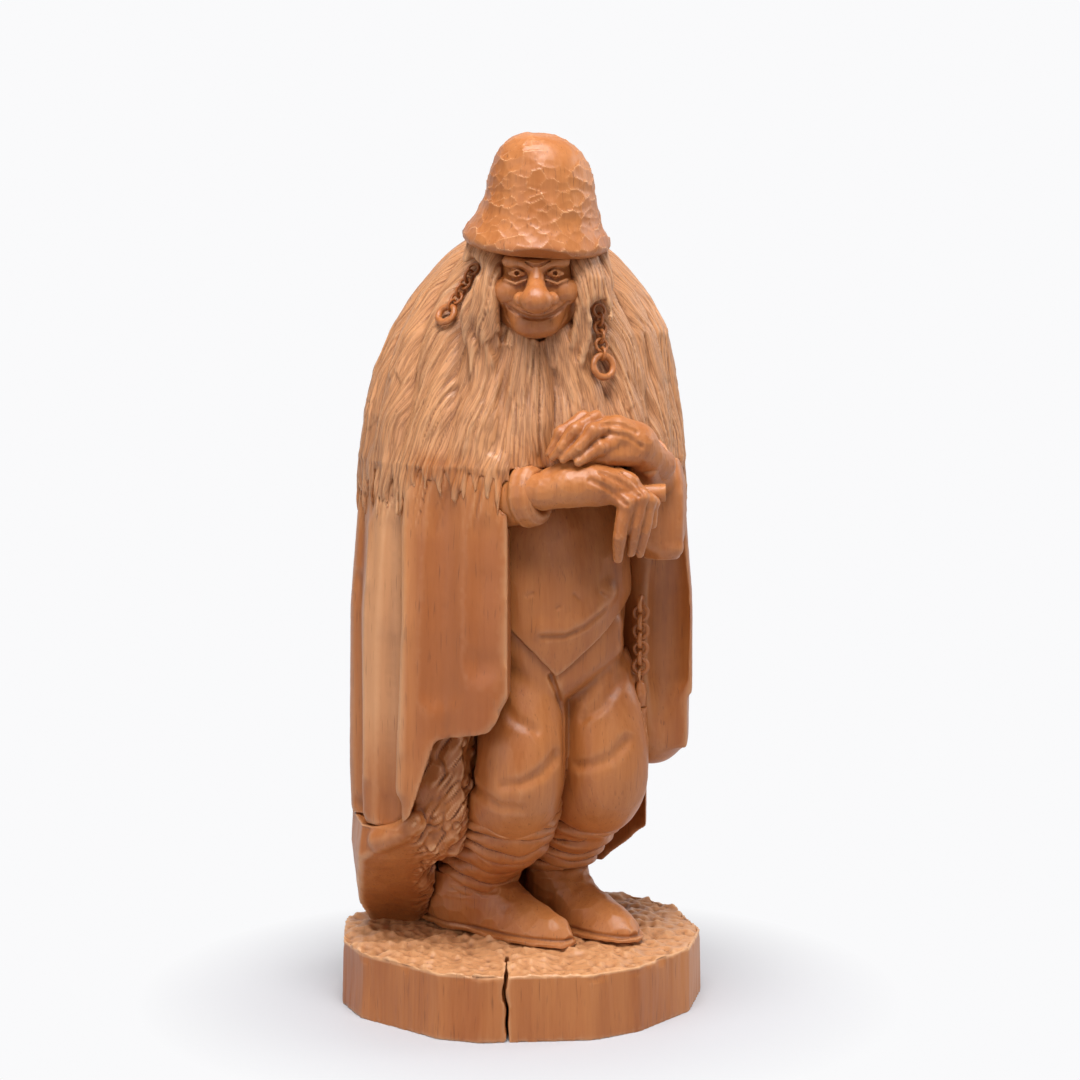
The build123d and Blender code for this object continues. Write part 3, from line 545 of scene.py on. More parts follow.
# %% Breeches and tunic
LEG_CREASE = ((11, 124), (13, 118.7), (15.3, 109.5), (15.8, 95.3), (15.8, 88))
KNEE_FOLDS = (
    ((13.5, 96), (8, 91), (1, 88), (-6, 87)),
    ((-19, 86), (-14, 82), (-7, 79), (0, 79)),
    ((38, 100), (33, 95), (26, 92), (20, 91)),
    ((36, 122), (29, 113), (22, 108)),
    ((-9, 118), (-2, 110), (6, 106)),
)
WAIST_LINES = (
    ((-3.4, 142.5), (3.0, 135.5), (8.5, 129.5)),
    ((14.0, 128.5), (22.0, 134.5), (30.0, 140.0)),
)
WAIST_HALF = 7.0
WAIST_SINK = 9.6
WAIST_DROPS = (0.0, 7.0)
BELLY_CREASE = ((8, 138.5), (16, 138.5), (23, 141.5), (30, 147))
BELLY_NICKS = (
    ((2.4, 153.2), (4.8, 154.1)),
    ((19.2, 153.4), (21.2, 151.4)),
    ((28.7, 153.6), (31.5, 151.8)),
    ((13.0, 148.6), (14.2, 149.4)),
)
BELLY_FOLD = ((8, 141), (16, 141.5), (24, 146), (30, 153))


def cloth_marks(points, normals):
    """Broad soft scoops."""
    flats = scoops(points, size=9, depth=0.55, seed=51, stretch=(1, 1, 1.4))
    return flats + 0.06 * noise(points, size=2.5, seed=52) + 0.4 * noise(points, size=14, seed=53) + 0.2


tunic = block_of("tunic", step=0.6)
breeches = block_of("breeches", step=0.6)
for waist in WAIST_LINES:
    line = laid(tunic, waist, WAIST_SINK)
    for drop in WAIST_DROPS:
        breeches.add(rod([(x, y, z - drop) for x, y, z in line], WAIST_HALF), blend=3.0)
breeches.cut(tapered(laid(breeches, LEG_CREASE, sink=0.6), 1.1, 0.2), blend=1.0)
for fold in KNEE_FOLDS:
    breeches.cut(tapered(laid(breeches, fold, sink=-0.3), 1.2, 0.3), blend=3.5)
finish_piece("breeches", breeches, cloth_marks)
tunic.add(rod(laid(tunic, BELLY_FOLD, sink=3.6), 3.8), blend=3.0)
tunic.cut(rod(laid(tunic, BELLY_CREASE, sink=0.2), 0.8), blend=1.5)
for nick in BELLY_NICKS:
    tunic.cut(rod(laid(tunic, nick, sink=0.1), 0.45), blend=0.6)
finish_piece("tunic", tunic, cloth_marks)

# %% [markdown]
# ## The way the hair lies
# The fur falls away from the head on all sides. Hair particles would be far too fine for wood, so the
# strands are V-cuts. To lay them, the points are mapped round an upright axis through the head, with a
# fan below it, and squeezed along the way down: what is round on the map is a long strand on the figure.
# Mantle and cloak share the map, so that strands run on across the seam between them.

# %% Hair
HAIR_AXIS = np.array([6.0, -18.0])
HAIR_REACH = 48.0
FAN_TOP = 256.0
FAN_LENGTH = 45.0
FAN_SOFT = 9.0


def combed(points, squeeze):
    """The points with the way down squeezed and the way out left off: round things become strands."""
    offset = points[:, :2] - HAIR_AXIS
    below = FAN_SOFT * np.logaddexp(0, (FAN_TOP - points[:, 2]) / FAN_SOFT)
    offset[:, 0] *= FAN_LENGTH / (FAN_LENGTH + below)
    around = HAIR_REACH * offset / np.linalg.norm(offset, axis=1, keepdims=True)
    return np.concatenate([around, squeeze * points[:, 2:]], axis=1)


def hair_flow(points):
    """Combed points with a slow wave in them, since no hair lies quite straight."""
    wave = np.stack([noise(points, size=15, seed=70 + axis) for axis in range(3)], -1)
    return combed(points + 2.2 * wave, 0.08)


def strands(points):
    """Long V-cuts that run down from the head, wide ones and fine ones."""
    flow = hair_flow(points)
    wide = groove(noise(flow, size=2.4, seed=73), width=0.3)
    fine = groove(noise(flow, size=1.7, seed=74), width=0.4)
    return 0.9 * wide + 0.4 * fine


print("hair fans out below", FAN_TOP, "mm")

# %% [markdown]
# ## Cloak
# The cloak falls in long planed flutes, so its marks are stretched far along the grain. Deep channels
# and narrow ridges run down its right side, the corners of its front hem are rounded, and a lining
# closes it behind the knife's chain. A cloth simulation would hang too softly for wood: rods laid on the
# surface keep the straight, cut look.

# %% Cloak
FLUTES = (
    (((-45.0, 194), (-46.3, 150), (-47.6, 72)), -3.2, (4.5, 6.6)),
    (((-30.5, 186), (-31.5, 150), (-32.0, 120)), -12.0, (12.4, 13.4)),
    (((-16.0, 176), (-17.0, 150), (-17.5, 132)), -15.4, (15.6, 16.2)),
    (((-57.5, 190), (-59.0, 140), (-59.5, 72)), -2.0, (2.0, 3.2)),
)
RIDGES = (
    (((-38.4, 190), (-39.2, 150), (-40.8, 84)), 1.3, (0.8, 2.8)),
    (((-53.0, 176), (-54.2, 120), (-54.6, 72)), 0.5, (0.4, 1.3)),
)
HEM_CORNERS = ((-0.5, 113.5, 4.5), (-7.0, 102.5, 4.0))
LINING = ((46, -1, 188), (48, -1, 150), (48, -1, 98))
LINING_HOLLOW = ((52.5, -17.5, 186), (53.5, -16.5, 150), (53.0, -17.0, 120), (50.5, -18.0, 104))
HEM_FRONT = -62.0
HEM_BACK = -30.0
# Painted light on the fur.
FUR_PAINTED_LIGHT = -0.5


def ragged(points, foot, fade):
    """How far into the fur a point is, above an uneven line."""
    return ramp(points[:, 2] - foot - 9 * noise(points, size=11, seed=64), 0, fade)


def cloak_marks(points, normals):
    """Long planed flutes, with strands of fur at the top."""
    flutes = scoops(points, size=9, depth=0.35, seed=61, stretch=(1, 1, 16))
    flutes = flutes + 0.5 * noise(points * np.array([1, 1, 0.3]), size=14, seed=62)
    outside = np.clip((normals * (points - np.array([1, 1, 0])))[:, :2].sum(1) / 20, 0, 1)
    fur = ragged(points, 176, 12) * outside
    return flutes + 0.05 * noise(points, size=2.0, seed=63) + 0.8 * fur * strands(points)


def painted_cloak_and_fur_shading(points):
    """Painted light on the fur, painted shade on the front panel and painted light on the flutes beside it.
    """
    front = ramp(-points[:, 1], 20, 6) * ramp(points[:, 2], 80, 30)
    panel = front * np.clip((points[:, 0] + 39) / 5, -0.6, 1)
    fur = ragged(points, 172, 34)
    return panel + fur * (FUR_PAINTED_LIGHT - panel)


cloak = block_of("cloak", step=1.0)
for points, sink, radii in FLUTES:
    cloak.cut(tapered(laid(cloak, points, sink), *radii), blend=1.6)
for points, sink, radii in RIDGES:
    cloak.add(tapered(laid(cloak, points, sink), *radii), blend=3.0)
for x, z, radius in HEM_CORNERS:
    cloak.cut(rod(((x, HEM_FRONT, z), (x, HEM_BACK, z)), radius), blend=3.0)
cloak.add(rod(LINING, (10, 13, 13)), blend=4.0)
cloak.cut(rod(LINING_HOLLOW, (6.0, 8.0, 8.0, 5.0)), blend=1.5)
# The cloak's front panel gets painted shade, and its left flutes and fur get painted light.
finish_piece("cloak", cloak, cloak_marks, relax=4, painted_shading=painted_cloak_and_fur_shading)

# %% [markdown]
# ## Fur mantle
# The mantle is one humped block of fur. Its frame node has the main locks, and its hump is rounded first
# by averaging the grid. Rods of hair frame the face, and room is cleared in front of the ear chains. All
# of it could be sculpted with brushes, but on the grid each step can be changed by itself.

# %% Mantle
SEAM = 198.0
FACE_HAIR = (
    ((-7.0, -35, 273), (-8.6, -39.5, 266), (-9.4, -41.5, 258), (-8.6, -39.0, 245)),
    ((-9.0, -37, 273), (-10.8, -41.5, 263), (-10.4, -43.5, 253), (-7.0, -41.0, 240)),
    ((-12.5, -35, 273), (-14.5, -40.0, 262), (-14.0, -42.5, 250), (-10.0, -42.0, 234)),
    ((-16.0, -30, 274), (-18.5, -35.5, 262), (-18.5, -39.5, 250), (-15.5, -41.0, 231)),
)
FACE_MIDDLE_X = 5.85
CHAIN_ROOM = 1.0
HUMP_FRONT = -16.0
HUMP_FOOT = 246.0
HUMP_REACH = 4
HUMP_ROUNDS = 4
HUMP_EDGE = 10.0
FUR_TOP = 262.0


def eased(depth, reach):
    """The depths averaged over a cube, which rounds off what is sharper than the cube."""
    width = 2 * reach + 1
    for axis in range(3):
        margins = [(reach + 1, reach) if side == axis else (0, 0) for side in range(3)]
        total = np.cumsum(np.pad(depth, margins, mode="edge"), axis=axis, dtype=np.float64)
        count = total.shape[axis]
        later = np.take(total, range(width, count), axis=axis)
        depth = (later - np.take(total, range(count - width), axis=axis)) / width
    return depth.astype(np.float32)


def fur_marks(points, normals):
    """Locks that lie along the hair, with strands cut into them."""
    nearest, way = cells(combed(points, 0.24), size=7.5, seed=75)
    underside = ramp(-normals[:, 2], 0.7, 0.2)
    body = ramp(points[:, 2], SEAM, 14) * ramp(-points[:, 2], -FUR_TOP, 16)
    locks = -0.6 * way[:, 2] - 0.6 * nearest**2 + 0.3
    return (body * locks + strands(points) + 0.3) * (1 - underside)


mantle = block_of("mantle", step=0.66, room=24.0)
low, high = mantle.low * mantle.step, (mantle.low + mantle.shape) * mantle.step
grid, place = mantle.points((low[0], HUMP_FRONT, HUMP_FOOT), high)
share = ramp(grid[1], HUMP_FRONT, HUMP_EDGE) * ramp(grid[2], HUMP_FOOT, HUMP_EDGE)
rounded = mantle.depth[place]
for _ in range(HUMP_ROUNDS):
    rounded = eased(rounded, HUMP_REACH)
mantle.depth[place] += share * (rounded - mantle.depth[place])
for lock in FACE_HAIR:
    for side in (-1, 1):
        turned = [(FACE_MIDDLE_X - side * (FACE_MIDDLE_X - x), y, z) for x, y, z in lock]
        mantle.add(rod(turned, (2.2, 2.5, 2.2, 0.6)), blend=4.0)
for chain in ("right_ear_chain", "left_ear_chain", "right_ear_ring", "left_ear_ring"):
    near = mantle.read(level_set(chain, mantle.step)[0])
    before = np.minimum.accumulate(near[:, ::-1], axis=1)[:, ::-1]
    mantle.depth = -smooth_least(-mantle.depth, before - CHAIN_ROOM, 2.5)
print("hump rounded", HUMP_ROUNDS, "times,", 2 * len(FACE_HAIR), "locks beside the face")

# %% [markdown]
# ## Locks over the cloak
# The fur's lowest locks lie on the cloak and end in points of uneven length. Each could be a curve with
# a thickness. Here the cloak's own distances say how far out a lock may stand, and seeded draws say how
# long it is and which way it leans. Above the seam the cloak's distances are carried straight up, so
# that no step is left.

# %% Locks
TONGUES = ((11.0, 5.0, 16.0), (5.0, 8.0, 25.0))
TONGUE_SLOPE = 0.15
TONGUE_RISE = 0.7
TONGUE_BLEND = 1.2
TONGUE_ROOT = 1.6
LOCK_SEED = 5
SEAM_FADE = 14.0
SEAM_SLOPE = 0.42
SKIRT_DEPTH = 24.0
SEAM_ROW = 1.5
TONGUE_TOP = 9.0


def tongues(x, y, z, width, shortest, longest, draw):
    """How far below the lock ends each point is: pointed locks side by side round the figure."""
    azimuth = np.degrees(np.arctan2(x - 1, 1 - y)) % 360
    share = azimuth / width
    number = np.floor(share).astype(int)
    drops = draw.uniform(shortest, longest, 1 + int(360 / width))
    leans = draw.uniform(-0.5, 0.5, len(drops))
    part = share - number + leans[number] * (SEAM - z) / longest
    return SEAM - drops[number] * (1 - np.abs(2 * np.clip(part, 0, 1) - 1)) - z


cloak_depth = mantle.read(level_set("cloak", mantle.step)[0])
grid, place = mantle.points((low[0], low[1], SEAM - SKIRT_DEPTH), (high[0], high[1], SEAM + SEAM_FADE))
near = cloak_depth[place]
top_row = int(np.argmin(np.abs(grid[2].ravel() - SEAM + SEAM_ROW)))
near[:, :, top_row:] = near[:, :, top_row:top_row + 1]
above = np.clip(grid[2] - SEAM, 0, None)
draw = np.random.default_rng(LOCK_SEED)
for row in TONGUES:
    below = tongues(*grid, *row, draw)
    rise = np.clip(-TONGUE_SLOPE * below, -0.2, TONGUE_RISE) * ramp(-grid[2], -SEAM, TONGUE_TOP)
    rise = rise - SEAM_SLOPE * above
    skirt = np.maximum(np.maximum(near - rise, -near - TONGUE_ROOT - 0.6 * above), below)
    mantle.depth[place] = smooth_least(mantle.depth[place], skirt, TONGUE_BLEND + 0.1 * above)
# The fur of the mantle gets painted light.
finish_piece("mantle", mantle, fur_marks, settle=0.6, flow=hair_flow, painted_shading=painted_cloak_and_fur_shading)

# %% [markdown]
# ## Hat
# The hat is covered in scoops of a small gouge, whose ridges catch the light. A bump map would not show
# on its outline, so two layers of cells are hollowed in the mesh itself. The crown is set upright and a
# little fuller than in the frame, and the front of the brim is cut back underneath, where shade is painted
# onto the wood.

# %% Hat
HAT_PATCH = np.array([13.0, -42.0, 304.0])
HAT_MIDDLE = np.array([7.4, -33.0])
BRIM_EDGE = (-54.0, 273.0)
BRIM_SLOPE = (-0.57, -0.82)


def hat_marks(points, normals):
    """Two layers of scoops, the deeper one counts, and one smooth worn patch."""
    cuts = []
    for size, seed in ((5.0, 81), (4.2, 84)):
        nearest, way = cells(points * np.array([0.9, 0.9, 1.15]), size, seed)
        cuts.append(0.75 * np.minimum(nearest, 1) ** 2 + 0.45 * way[:, 2])
    under = ramp(-normals[:, 2], 0.6, 0.3)
    patch = np.clip(np.linalg.norm(points - HAT_PATCH, axis=1) / 3 - 1.6, 0, 1)
    return (np.minimum(*cuts) - 0.2) * (1 - under) * patch + 0.05 * noise(points, size=1.5, seed=87)


def hat_shape(points):
    """The hat's crown set upright and a little fuller."""
    rise = ramp(points[:, 2], 276, 34)
    full = 1 + 0.2 * ramp(points[:, 2], 292, 16)
    shifted = points.copy()
    shifted[:, 0] -= 3.2 * rise
    shifted[:, :2] = HAT_MIDDLE + (shifted[:, :2] - HAT_MIDDLE) * full[:, None]
    return shifted


def brim_cut(x, y, z):
    """How far outside the chamfer under the front of the brim a point is."""
    return BRIM_SLOPE[0] * (y - BRIM_EDGE[0]) + BRIM_SLOPE[1] * (z - BRIM_EDGE[1])


def painted_brim_shade(points):
    """Painted shade on the chamfer under the front of the brim."""
    away = np.abs(brim_cut(*points.T))
    return 0.8 * np.clip(1.6 - away, 0, 1) * (points[:, 2] < 275)


hat = block_of("hat", step=0.45)
hat.keep(brim_cut)
# Shade is painted onto the chamfer under the front of the brim.
finish_piece("hat", hat, hat_marks, shape=hat_shape, painted_shading=painted_brim_shade)

# %% [markdown]
# ## Head
# The face is built up as a carver plans it: skull and jaw first, then brow, nose and cheeks, then lids,
# lips and wrinkles. It could be sculpted by hand, but eggs and rods in the face's own frame, x to the
# troll's left, y into the head and z up from the nose, are easy to move, and most are made once for each
# side.

# %% Head
FACE_ORIGIN = np.array([FACE_MIDDLE_X, -46.0, 256.0])
HAT_PLANE_POINT = np.array([5.6, -28.0, 273.0])
HAT_PITCH = math.radians(9.0)
HAT_ROLL = math.radians(4.5)
BROW = ((-9.5, 1.4, 12.4), (-4, -0.6, 11.2), (0, -1.2, 10.6), (4, -0.6, 11.2), (9.5, 1.4, 12.4))
SKULL = (
    ("add", ((0, 19, 7),), (15.6, 19.5, 20.5), 0.1),
    ("add", ((0, 12, -4),), (13.4, 12.6, 10.4), 3.0),
    ("add", BROW, 2.2, 1.8),
    ("add", ((0, 3.4, -9.6),), (8.0, 5.0, 4.4), 3.0),
)
CHEEK_AND_SOCKET = (
    ("add", ((9.4, 3.8, 2.2),), (5.8, 4.6, 4.8), 3.0),
    ("cut", ((6.75, -1.9, 8.5),), (3.0, 2.4, 1.9), 1.2),
)
NOSE = (
    ("add", ((0, -0.4, 10.8), (0, -3.2, 5.0), (0, -7.0, 0.8)), (2.3, 3.1, 4.4), 1.5),
    ("add", ((0, -8.0, -0.6),), (5.7, 5.0, 4.6), 1.0),
)
NOSTRIL = (
    ("add", ((5.1, -4.4, -0.3),), (2.8, 3.0, 2.7), 0.5),
    ("cut", ((2.4, -7.4, -4.9),), (1.3, 1.6, 1.0), 0.4),
)
EYE = (
    ("add", ((6.75, 0.7, 8.4),), 2.1, 0.2),
    ("add", ((4.2, -0.6, 8.2), (6.4, -1.6, 9.25), (9.0, 0.0, 8.4)), 0.65, 0.3),
    ("add", ((4.2, -0.6, 7.9), (6.8, -1.5, 7.5), (9.0, 0.1, 8.1)), 0.55, 0.3),
    ("cut", ((6.5, -1.6, 8.4),), (0.8, 1.7, 0.75), 0.1),
    ("add", ((3.6, -0.9, 6.1), (7.0, -1.1, 4.9), (10.6, 0.6, 6.2)), 0.6, 0.7),
    ("cut", ((10.4, 0.6, 8.2), (13.2, 3.0, 9.8)), (0.4, 0.15), 0.3),
    ("cut", ((10.4, 0.6, 7.6), (13.4, 3.2, 7.6)), (0.4, 0.15), 0.3),
)
MOUTH = ((-11, -1.8), (-9, -3.5), (-6, -5.4), (-2, -6.8), (2, -6.9), (6, -5.6), (9, -3.6), (11, -1.6))
CHEEK_FOLDS = (
    ("cut", ((6.6, -1.9, 2.6), (7.6, -1.0, -0.6), (10.6, 1.8, -2.6)), (0.5, 0.65, 0.4), 0.5),
    ("cut", ((11.2, 3.2, -2.6), (10.4, 4.4, -6.4), (7.8, 4.4, -10.2)), (0.5, 0.45, 0.2), 0.4),
)
FURROW = ((-4.8, -1.4, 12.6), (-1.2, -3.2, 11.0), (1.0, -3.2, 11.0), (5.4, -1.4, 12.6))
FURROW_RISE = 1.5
FURROWS = (
    ("cut", FURROW, (0.3, 0.5, 0.5, 0.3), 0.3),
    ("cut", tuple((x, y, z + FURROW_RISE) for x, y, z in FURROW), (0.3, 0.5, 0.5, 0.3), 0.3),
    ("cut", ((-2.6, -2.5, 8.4), (0, -3.4, 9.3), (2.6, -2.5, 8.4)), (0.2, 0.4, 0.2), 0.3),
)
ONE = (1,)
BOTH = (-1, 1)


def face(*points, side=1):
    """Points of the face's frame, mirrored for the other side, in the figure's frame."""
    return [FACE_ORIGIN + np.array([side * x, y, z]) for x, y, z in points]


def carve(features, sides):
    """Adds or cuts features of the face: an egg at a single point, or a rod through several."""
    for side in sides:
        for action, points, radii, blend in features:
            placed = face(*points, side=side)
            form = rod(placed, radii) if len(placed) > 1 else ball(placed[0], radii)
            if action == "add":
                head.add(form, blend)
            else:
                head.cut(form, blend)


head = Block((-15, -62, 236), (27, -4, 280), 0.32)
carve(SKULL, ONE)
carve(CHEEK_AND_SOCKET, BOTH)
carve(NOSE, ONE)
carve(NOSTRIL + EYE, BOTH)
mouth = laid(head, [(FACE_ORIGIN[0] + x, FACE_ORIGIN[2] + z) for x, z in MOUTH], sink=0.2)
head.cut(rod(mouth, 0.8), blend=0.3)
carve(CHEEK_FOLDS, BOTH)
carve(FURROWS, ONE)
hat_axis = np.array([
    math.sin(HAT_ROLL) * math.cos(HAT_PITCH),
    -math.sin(HAT_PITCH),
    math.cos(HAT_ROLL) * math.cos(HAT_PITCH),
])
head.keep(lambda x, y, z: sum(a * (p - c) for a, p, c in zip(hat_axis, (x, y, z), HAT_PLANE_POINT)))


def face_marks(points, normals):
    """Very small knife flats."""
    return scoops(points, size=3.0, depth=0.12, seed=85) + 0.05 * noise(points, size=0.9, seed=86)


finish_piece("head", head, face_marks)

# %% [markdown]
# ## Hands
# The right hand hangs over the end of a stick, and the left hand lies over its wrist. A rigged hand
# could be posed for each, but built of rods on one grid, fingers that touch melt together as they do in
# carved wood. A finger thins towards its tip and bends at its knuckles, and wrist, palm and thumb are
# thicker rods, blended wide. Grooves between the tendons are cut last.

# %% Hands
RIGHT_FINGERS = (
    (((28, -57, 193), (36.6, -59.5, 187), (34.2, -59.5, 175.5), (33.8, -56.5, 167.8)), (3.4, 3.3, 2.7, 1.9)),
    (((32, -56, 195), (41.2, -57.8, 189), (39.6, -57.8, 179), (38.2, -55.0, 169.5)), (3.2, 2.9, 2.5, 1.8)),
    (((34, -53, 196), (44.2, -54.6, 187.5), (43.0, -55.0, 177), (41.2, -52.5, 169)), (3.0, 2.7, 2.3, 1.7)),
    (((34, -50, 196), (45.8, -51.0, 186.5), (45.6, -51.5, 179)), (2.8, 2.4, 1.8)),
)
LEFT_FINGERS = (
    (((33.5, -52.5, 207.5), (27.5, -57.6, 205.8), (20.2, -59.8, 201.2)), (3.2, 2.7, 1.9)),
    (
        ((31, -52.5, 213), (25.2, -57.8, 211.4), (20.0, -59.6, 205.8), (15.2, -58.8, 202.0)),
        (3.0, 2.7, 2.3, 1.7),
    ),
    (
        ((26.5, -51.5, 215.5), (19.0, -56.8, 211.8), (14.2, -58.0, 205.6), (11.6, -56.8, 202.4)),
        (2.9, 2.5, 2.2, 1.6),
    ),
    (((22, -49.5, 215.5), (14.2, -53.8, 210.4), (10.4, -54.0, 203.2)), (2.7, 2.4, 1.7)),
)
RIGHT_TENDONS = (
    ((24, 195.5), (30, 192.5), (36.5, 187.0)),
    ((28, 198.0), (34, 195.0), (40.5, 190.0)),
    ((33, 199.0), (38, 196.0), (43.0, 190.5)),
)
LEFT_TENDONS = (
    ((42, 206), (37, 209.5), (31, 210.5)),
    ((40, 211), (35, 213.5), (28.5, 214.0)),
)
RIGHT_PALM = (
    (((2, -50, 190), (9, -54, 190.4), (17, -55.4, 192.2)), (6.4, 6.6, 7.0), 0.1),
    (((17, -55.4, 192.2), (26, -56, 193.0), (36, -54.5, 192.0)), (7.2, 7.6, 6.0), 1.5),
    (((10, -53.5, 195.5), (17, -55.0, 199.6), (24, -55.5, 201.2)), (3.2, 2.8, 2.0), 1.2),
)
LEFT_PALM = (
    (((48, -36, 198), (44.5, -42, 201), (40, -47, 206)), (6.6, 6.4, 7.4), 0.1),
    (((40, -46.5, 206.5), (33, -50, 210), (26, -50.5, 211.5)), (7.4, 6.6, 5.0), 1.5),
    (((38, -50, 203), (30, -54, 203), (22, -55, 202.5)), (4.5, 4.0, 3.0), 1.5),
)
KNUCKLE_GROWTH = 0.35
HAND_STEP = 0.36


def make_hand(low, high, palm, fingers, tendons, groove_half):
    """Wrist, palm and thumb, then fingers with thicker knuckles, then grooves between the tendons."""
    hand = Block(low, high, HAND_STEP)
    for points, radii, blend in palm:
        hand.add(rod(points, radii), blend)
    for points, radii in fingers:
        hand.add(rod(points, radii), blend=0.7)
        hand.add(ball(points[1], radii[1] + KNUCKLE_GROWTH), blend=0.9)
    for points in tendons:
        hand.cut(rod(laid(hand, points, sink=-0.1), groove_half), blend=1.0)
    return hand


right_hand = make_hand((-2, -66, 160), (54, -42, 208), RIGHT_PALM, RIGHT_FINGERS, RIGHT_TENDONS, 0.7)
left_hand = make_hand((4, -66, 192), (56, -34, 224), LEFT_PALM, LEFT_FINGERS, LEFT_TENDONS, 0.6)


def skin_marks(points, normals):
    """Small knife flats."""
    return scoops(points, size=4.2, depth=0.35, seed=91) + 0.08 * noise(points, size=1.2, seed=92)


finish_piece("right_hand", right_hand, skin_marks)
finish_piece("left_hand", left_hand, skin_marks)

# %% [markdown]
# ## Sleeves and small pieces
# The right sleeve ends in a rolled cuff, and the left one hangs in folds. A cuff could be a torus, but
# hoops left standing on the sleeve's own grid grow out of it. Stick, knife, sheath and rings have their
# shape in the frame already, so they only get the small flats of a whittling knife.

# %% Sleeves, stick, knife, sheath and rings
CUFF_MIDDLE = np.array([5.2, -50.2, 189.0])
CUFF_AXIS = np.array([0.811, -0.570, 0.131])
CUFF_HALF = (9.6, 8.0)
RING_GROWTH = 0.5


def hoop(centre, axis, half, count=16):
    """Points of a closed oval about an axis, the first half size upwards."""
    upwards = np.array([0, 0, 1.0]) - axis * axis[2]
    upwards = upwards / np.linalg.norm(upwards)
    across = np.cross(axis, upwards)
    turns = np.linspace(0, 2 * math.pi, count + 1)
    return [centre + half[0] * math.cos(t) * upwards + half[1] * math.sin(t) * across for t in turns]


right_sleeve = block_of("right_sleeve", step=0.5)
for shift, grow, thick in ((1.6, -1.8, 1.7), (-0.6, -0.6, 2.0), (-3.2, 0.0, 1.9)):
    half = [size + grow for size in CUFF_HALF]
    right_sleeve.add(rod(hoop(CUFF_MIDDLE + shift * CUFF_AXIS, CUFF_AXIS, half), thick), blend=1.2)
finish_piece("right_sleeve", right_sleeve, cloth_marks)

SLEEVE_FOLDS = (
    ((50, 212), (54, 200), (55.5, 184), (55, 170)),
    ((45, 196), (48, 184), (47, 172)),
    ((44, 170), (50, 167.5), (55, 167.5)),
)
left_sleeve = block_of("left_sleeve", step=0.5)
for fold in SLEEVE_FOLDS:
    left_sleeve.add(rod(laid(left_sleeve, fold, sink=0.9), 1.8), blend=3.0)
finish_piece("left_sleeve", left_sleeve, cloth_marks)


def whittled(points, normals):
    """Long flats of a small knife."""
    flats = scoops(points, size=3.6, depth=0.35, seed=95, stretch=(1.6, 1, 1))
    return flats + 0.05 * noise(points, size=1.2, seed=96)


for node in ("stick", "knife", "sheath"):
    finish_piece(node, block_of(node, step=0.35), whittled)

for node in ("right_ear_ring", "left_ear_ring"):
    ring = block_of(node, step=0.25)
    ring.depth -= RING_GROWTH
    finish_piece(node, ring, whittled)

# %% [markdown]
# ## Chains
# Each chain is one link, repeated along a straight line and turned by a quarter from link to link. The
# links could be copied by hand, but that is a job for Geometry Nodes: the line is resampled to one point
# for each link, and a small tree sets a link on each point. Where the line runs is read from the frame's
# own chain.

# %% Chain tree
EAR_LINK = (2.1, 0.55)
EAR_LINKS = 6
KNIFE_LINK = (2.4, 0.8)
KNIFE_LINKS = 8
CHAIN_SEED = 3
LINK_UNEVENNESS = 0.06


def plug(tree, slot, value):
    """Links a socket, or a sum that has one, to the slot of a node, or fills the slot with a value."""
    value = getattr(value, "socket", value)
    if isinstance(value, bpy.types.NodeSocket):
        tree.links.new(value, slot)
    elif value is not None:
        slot.default_value = value


def add_node(tree, kind, settings=None, **values):
    """A node of this kind, with its settings made first and then its slots filled."""
    node = tree.nodes.new(kind)
    for key, value in (settings or {}).items():
        setattr(node, key, value)
    for key, value in values.items():
        plug(tree, node.inputs[key.replace("_", " ").strip()], value)
    return node


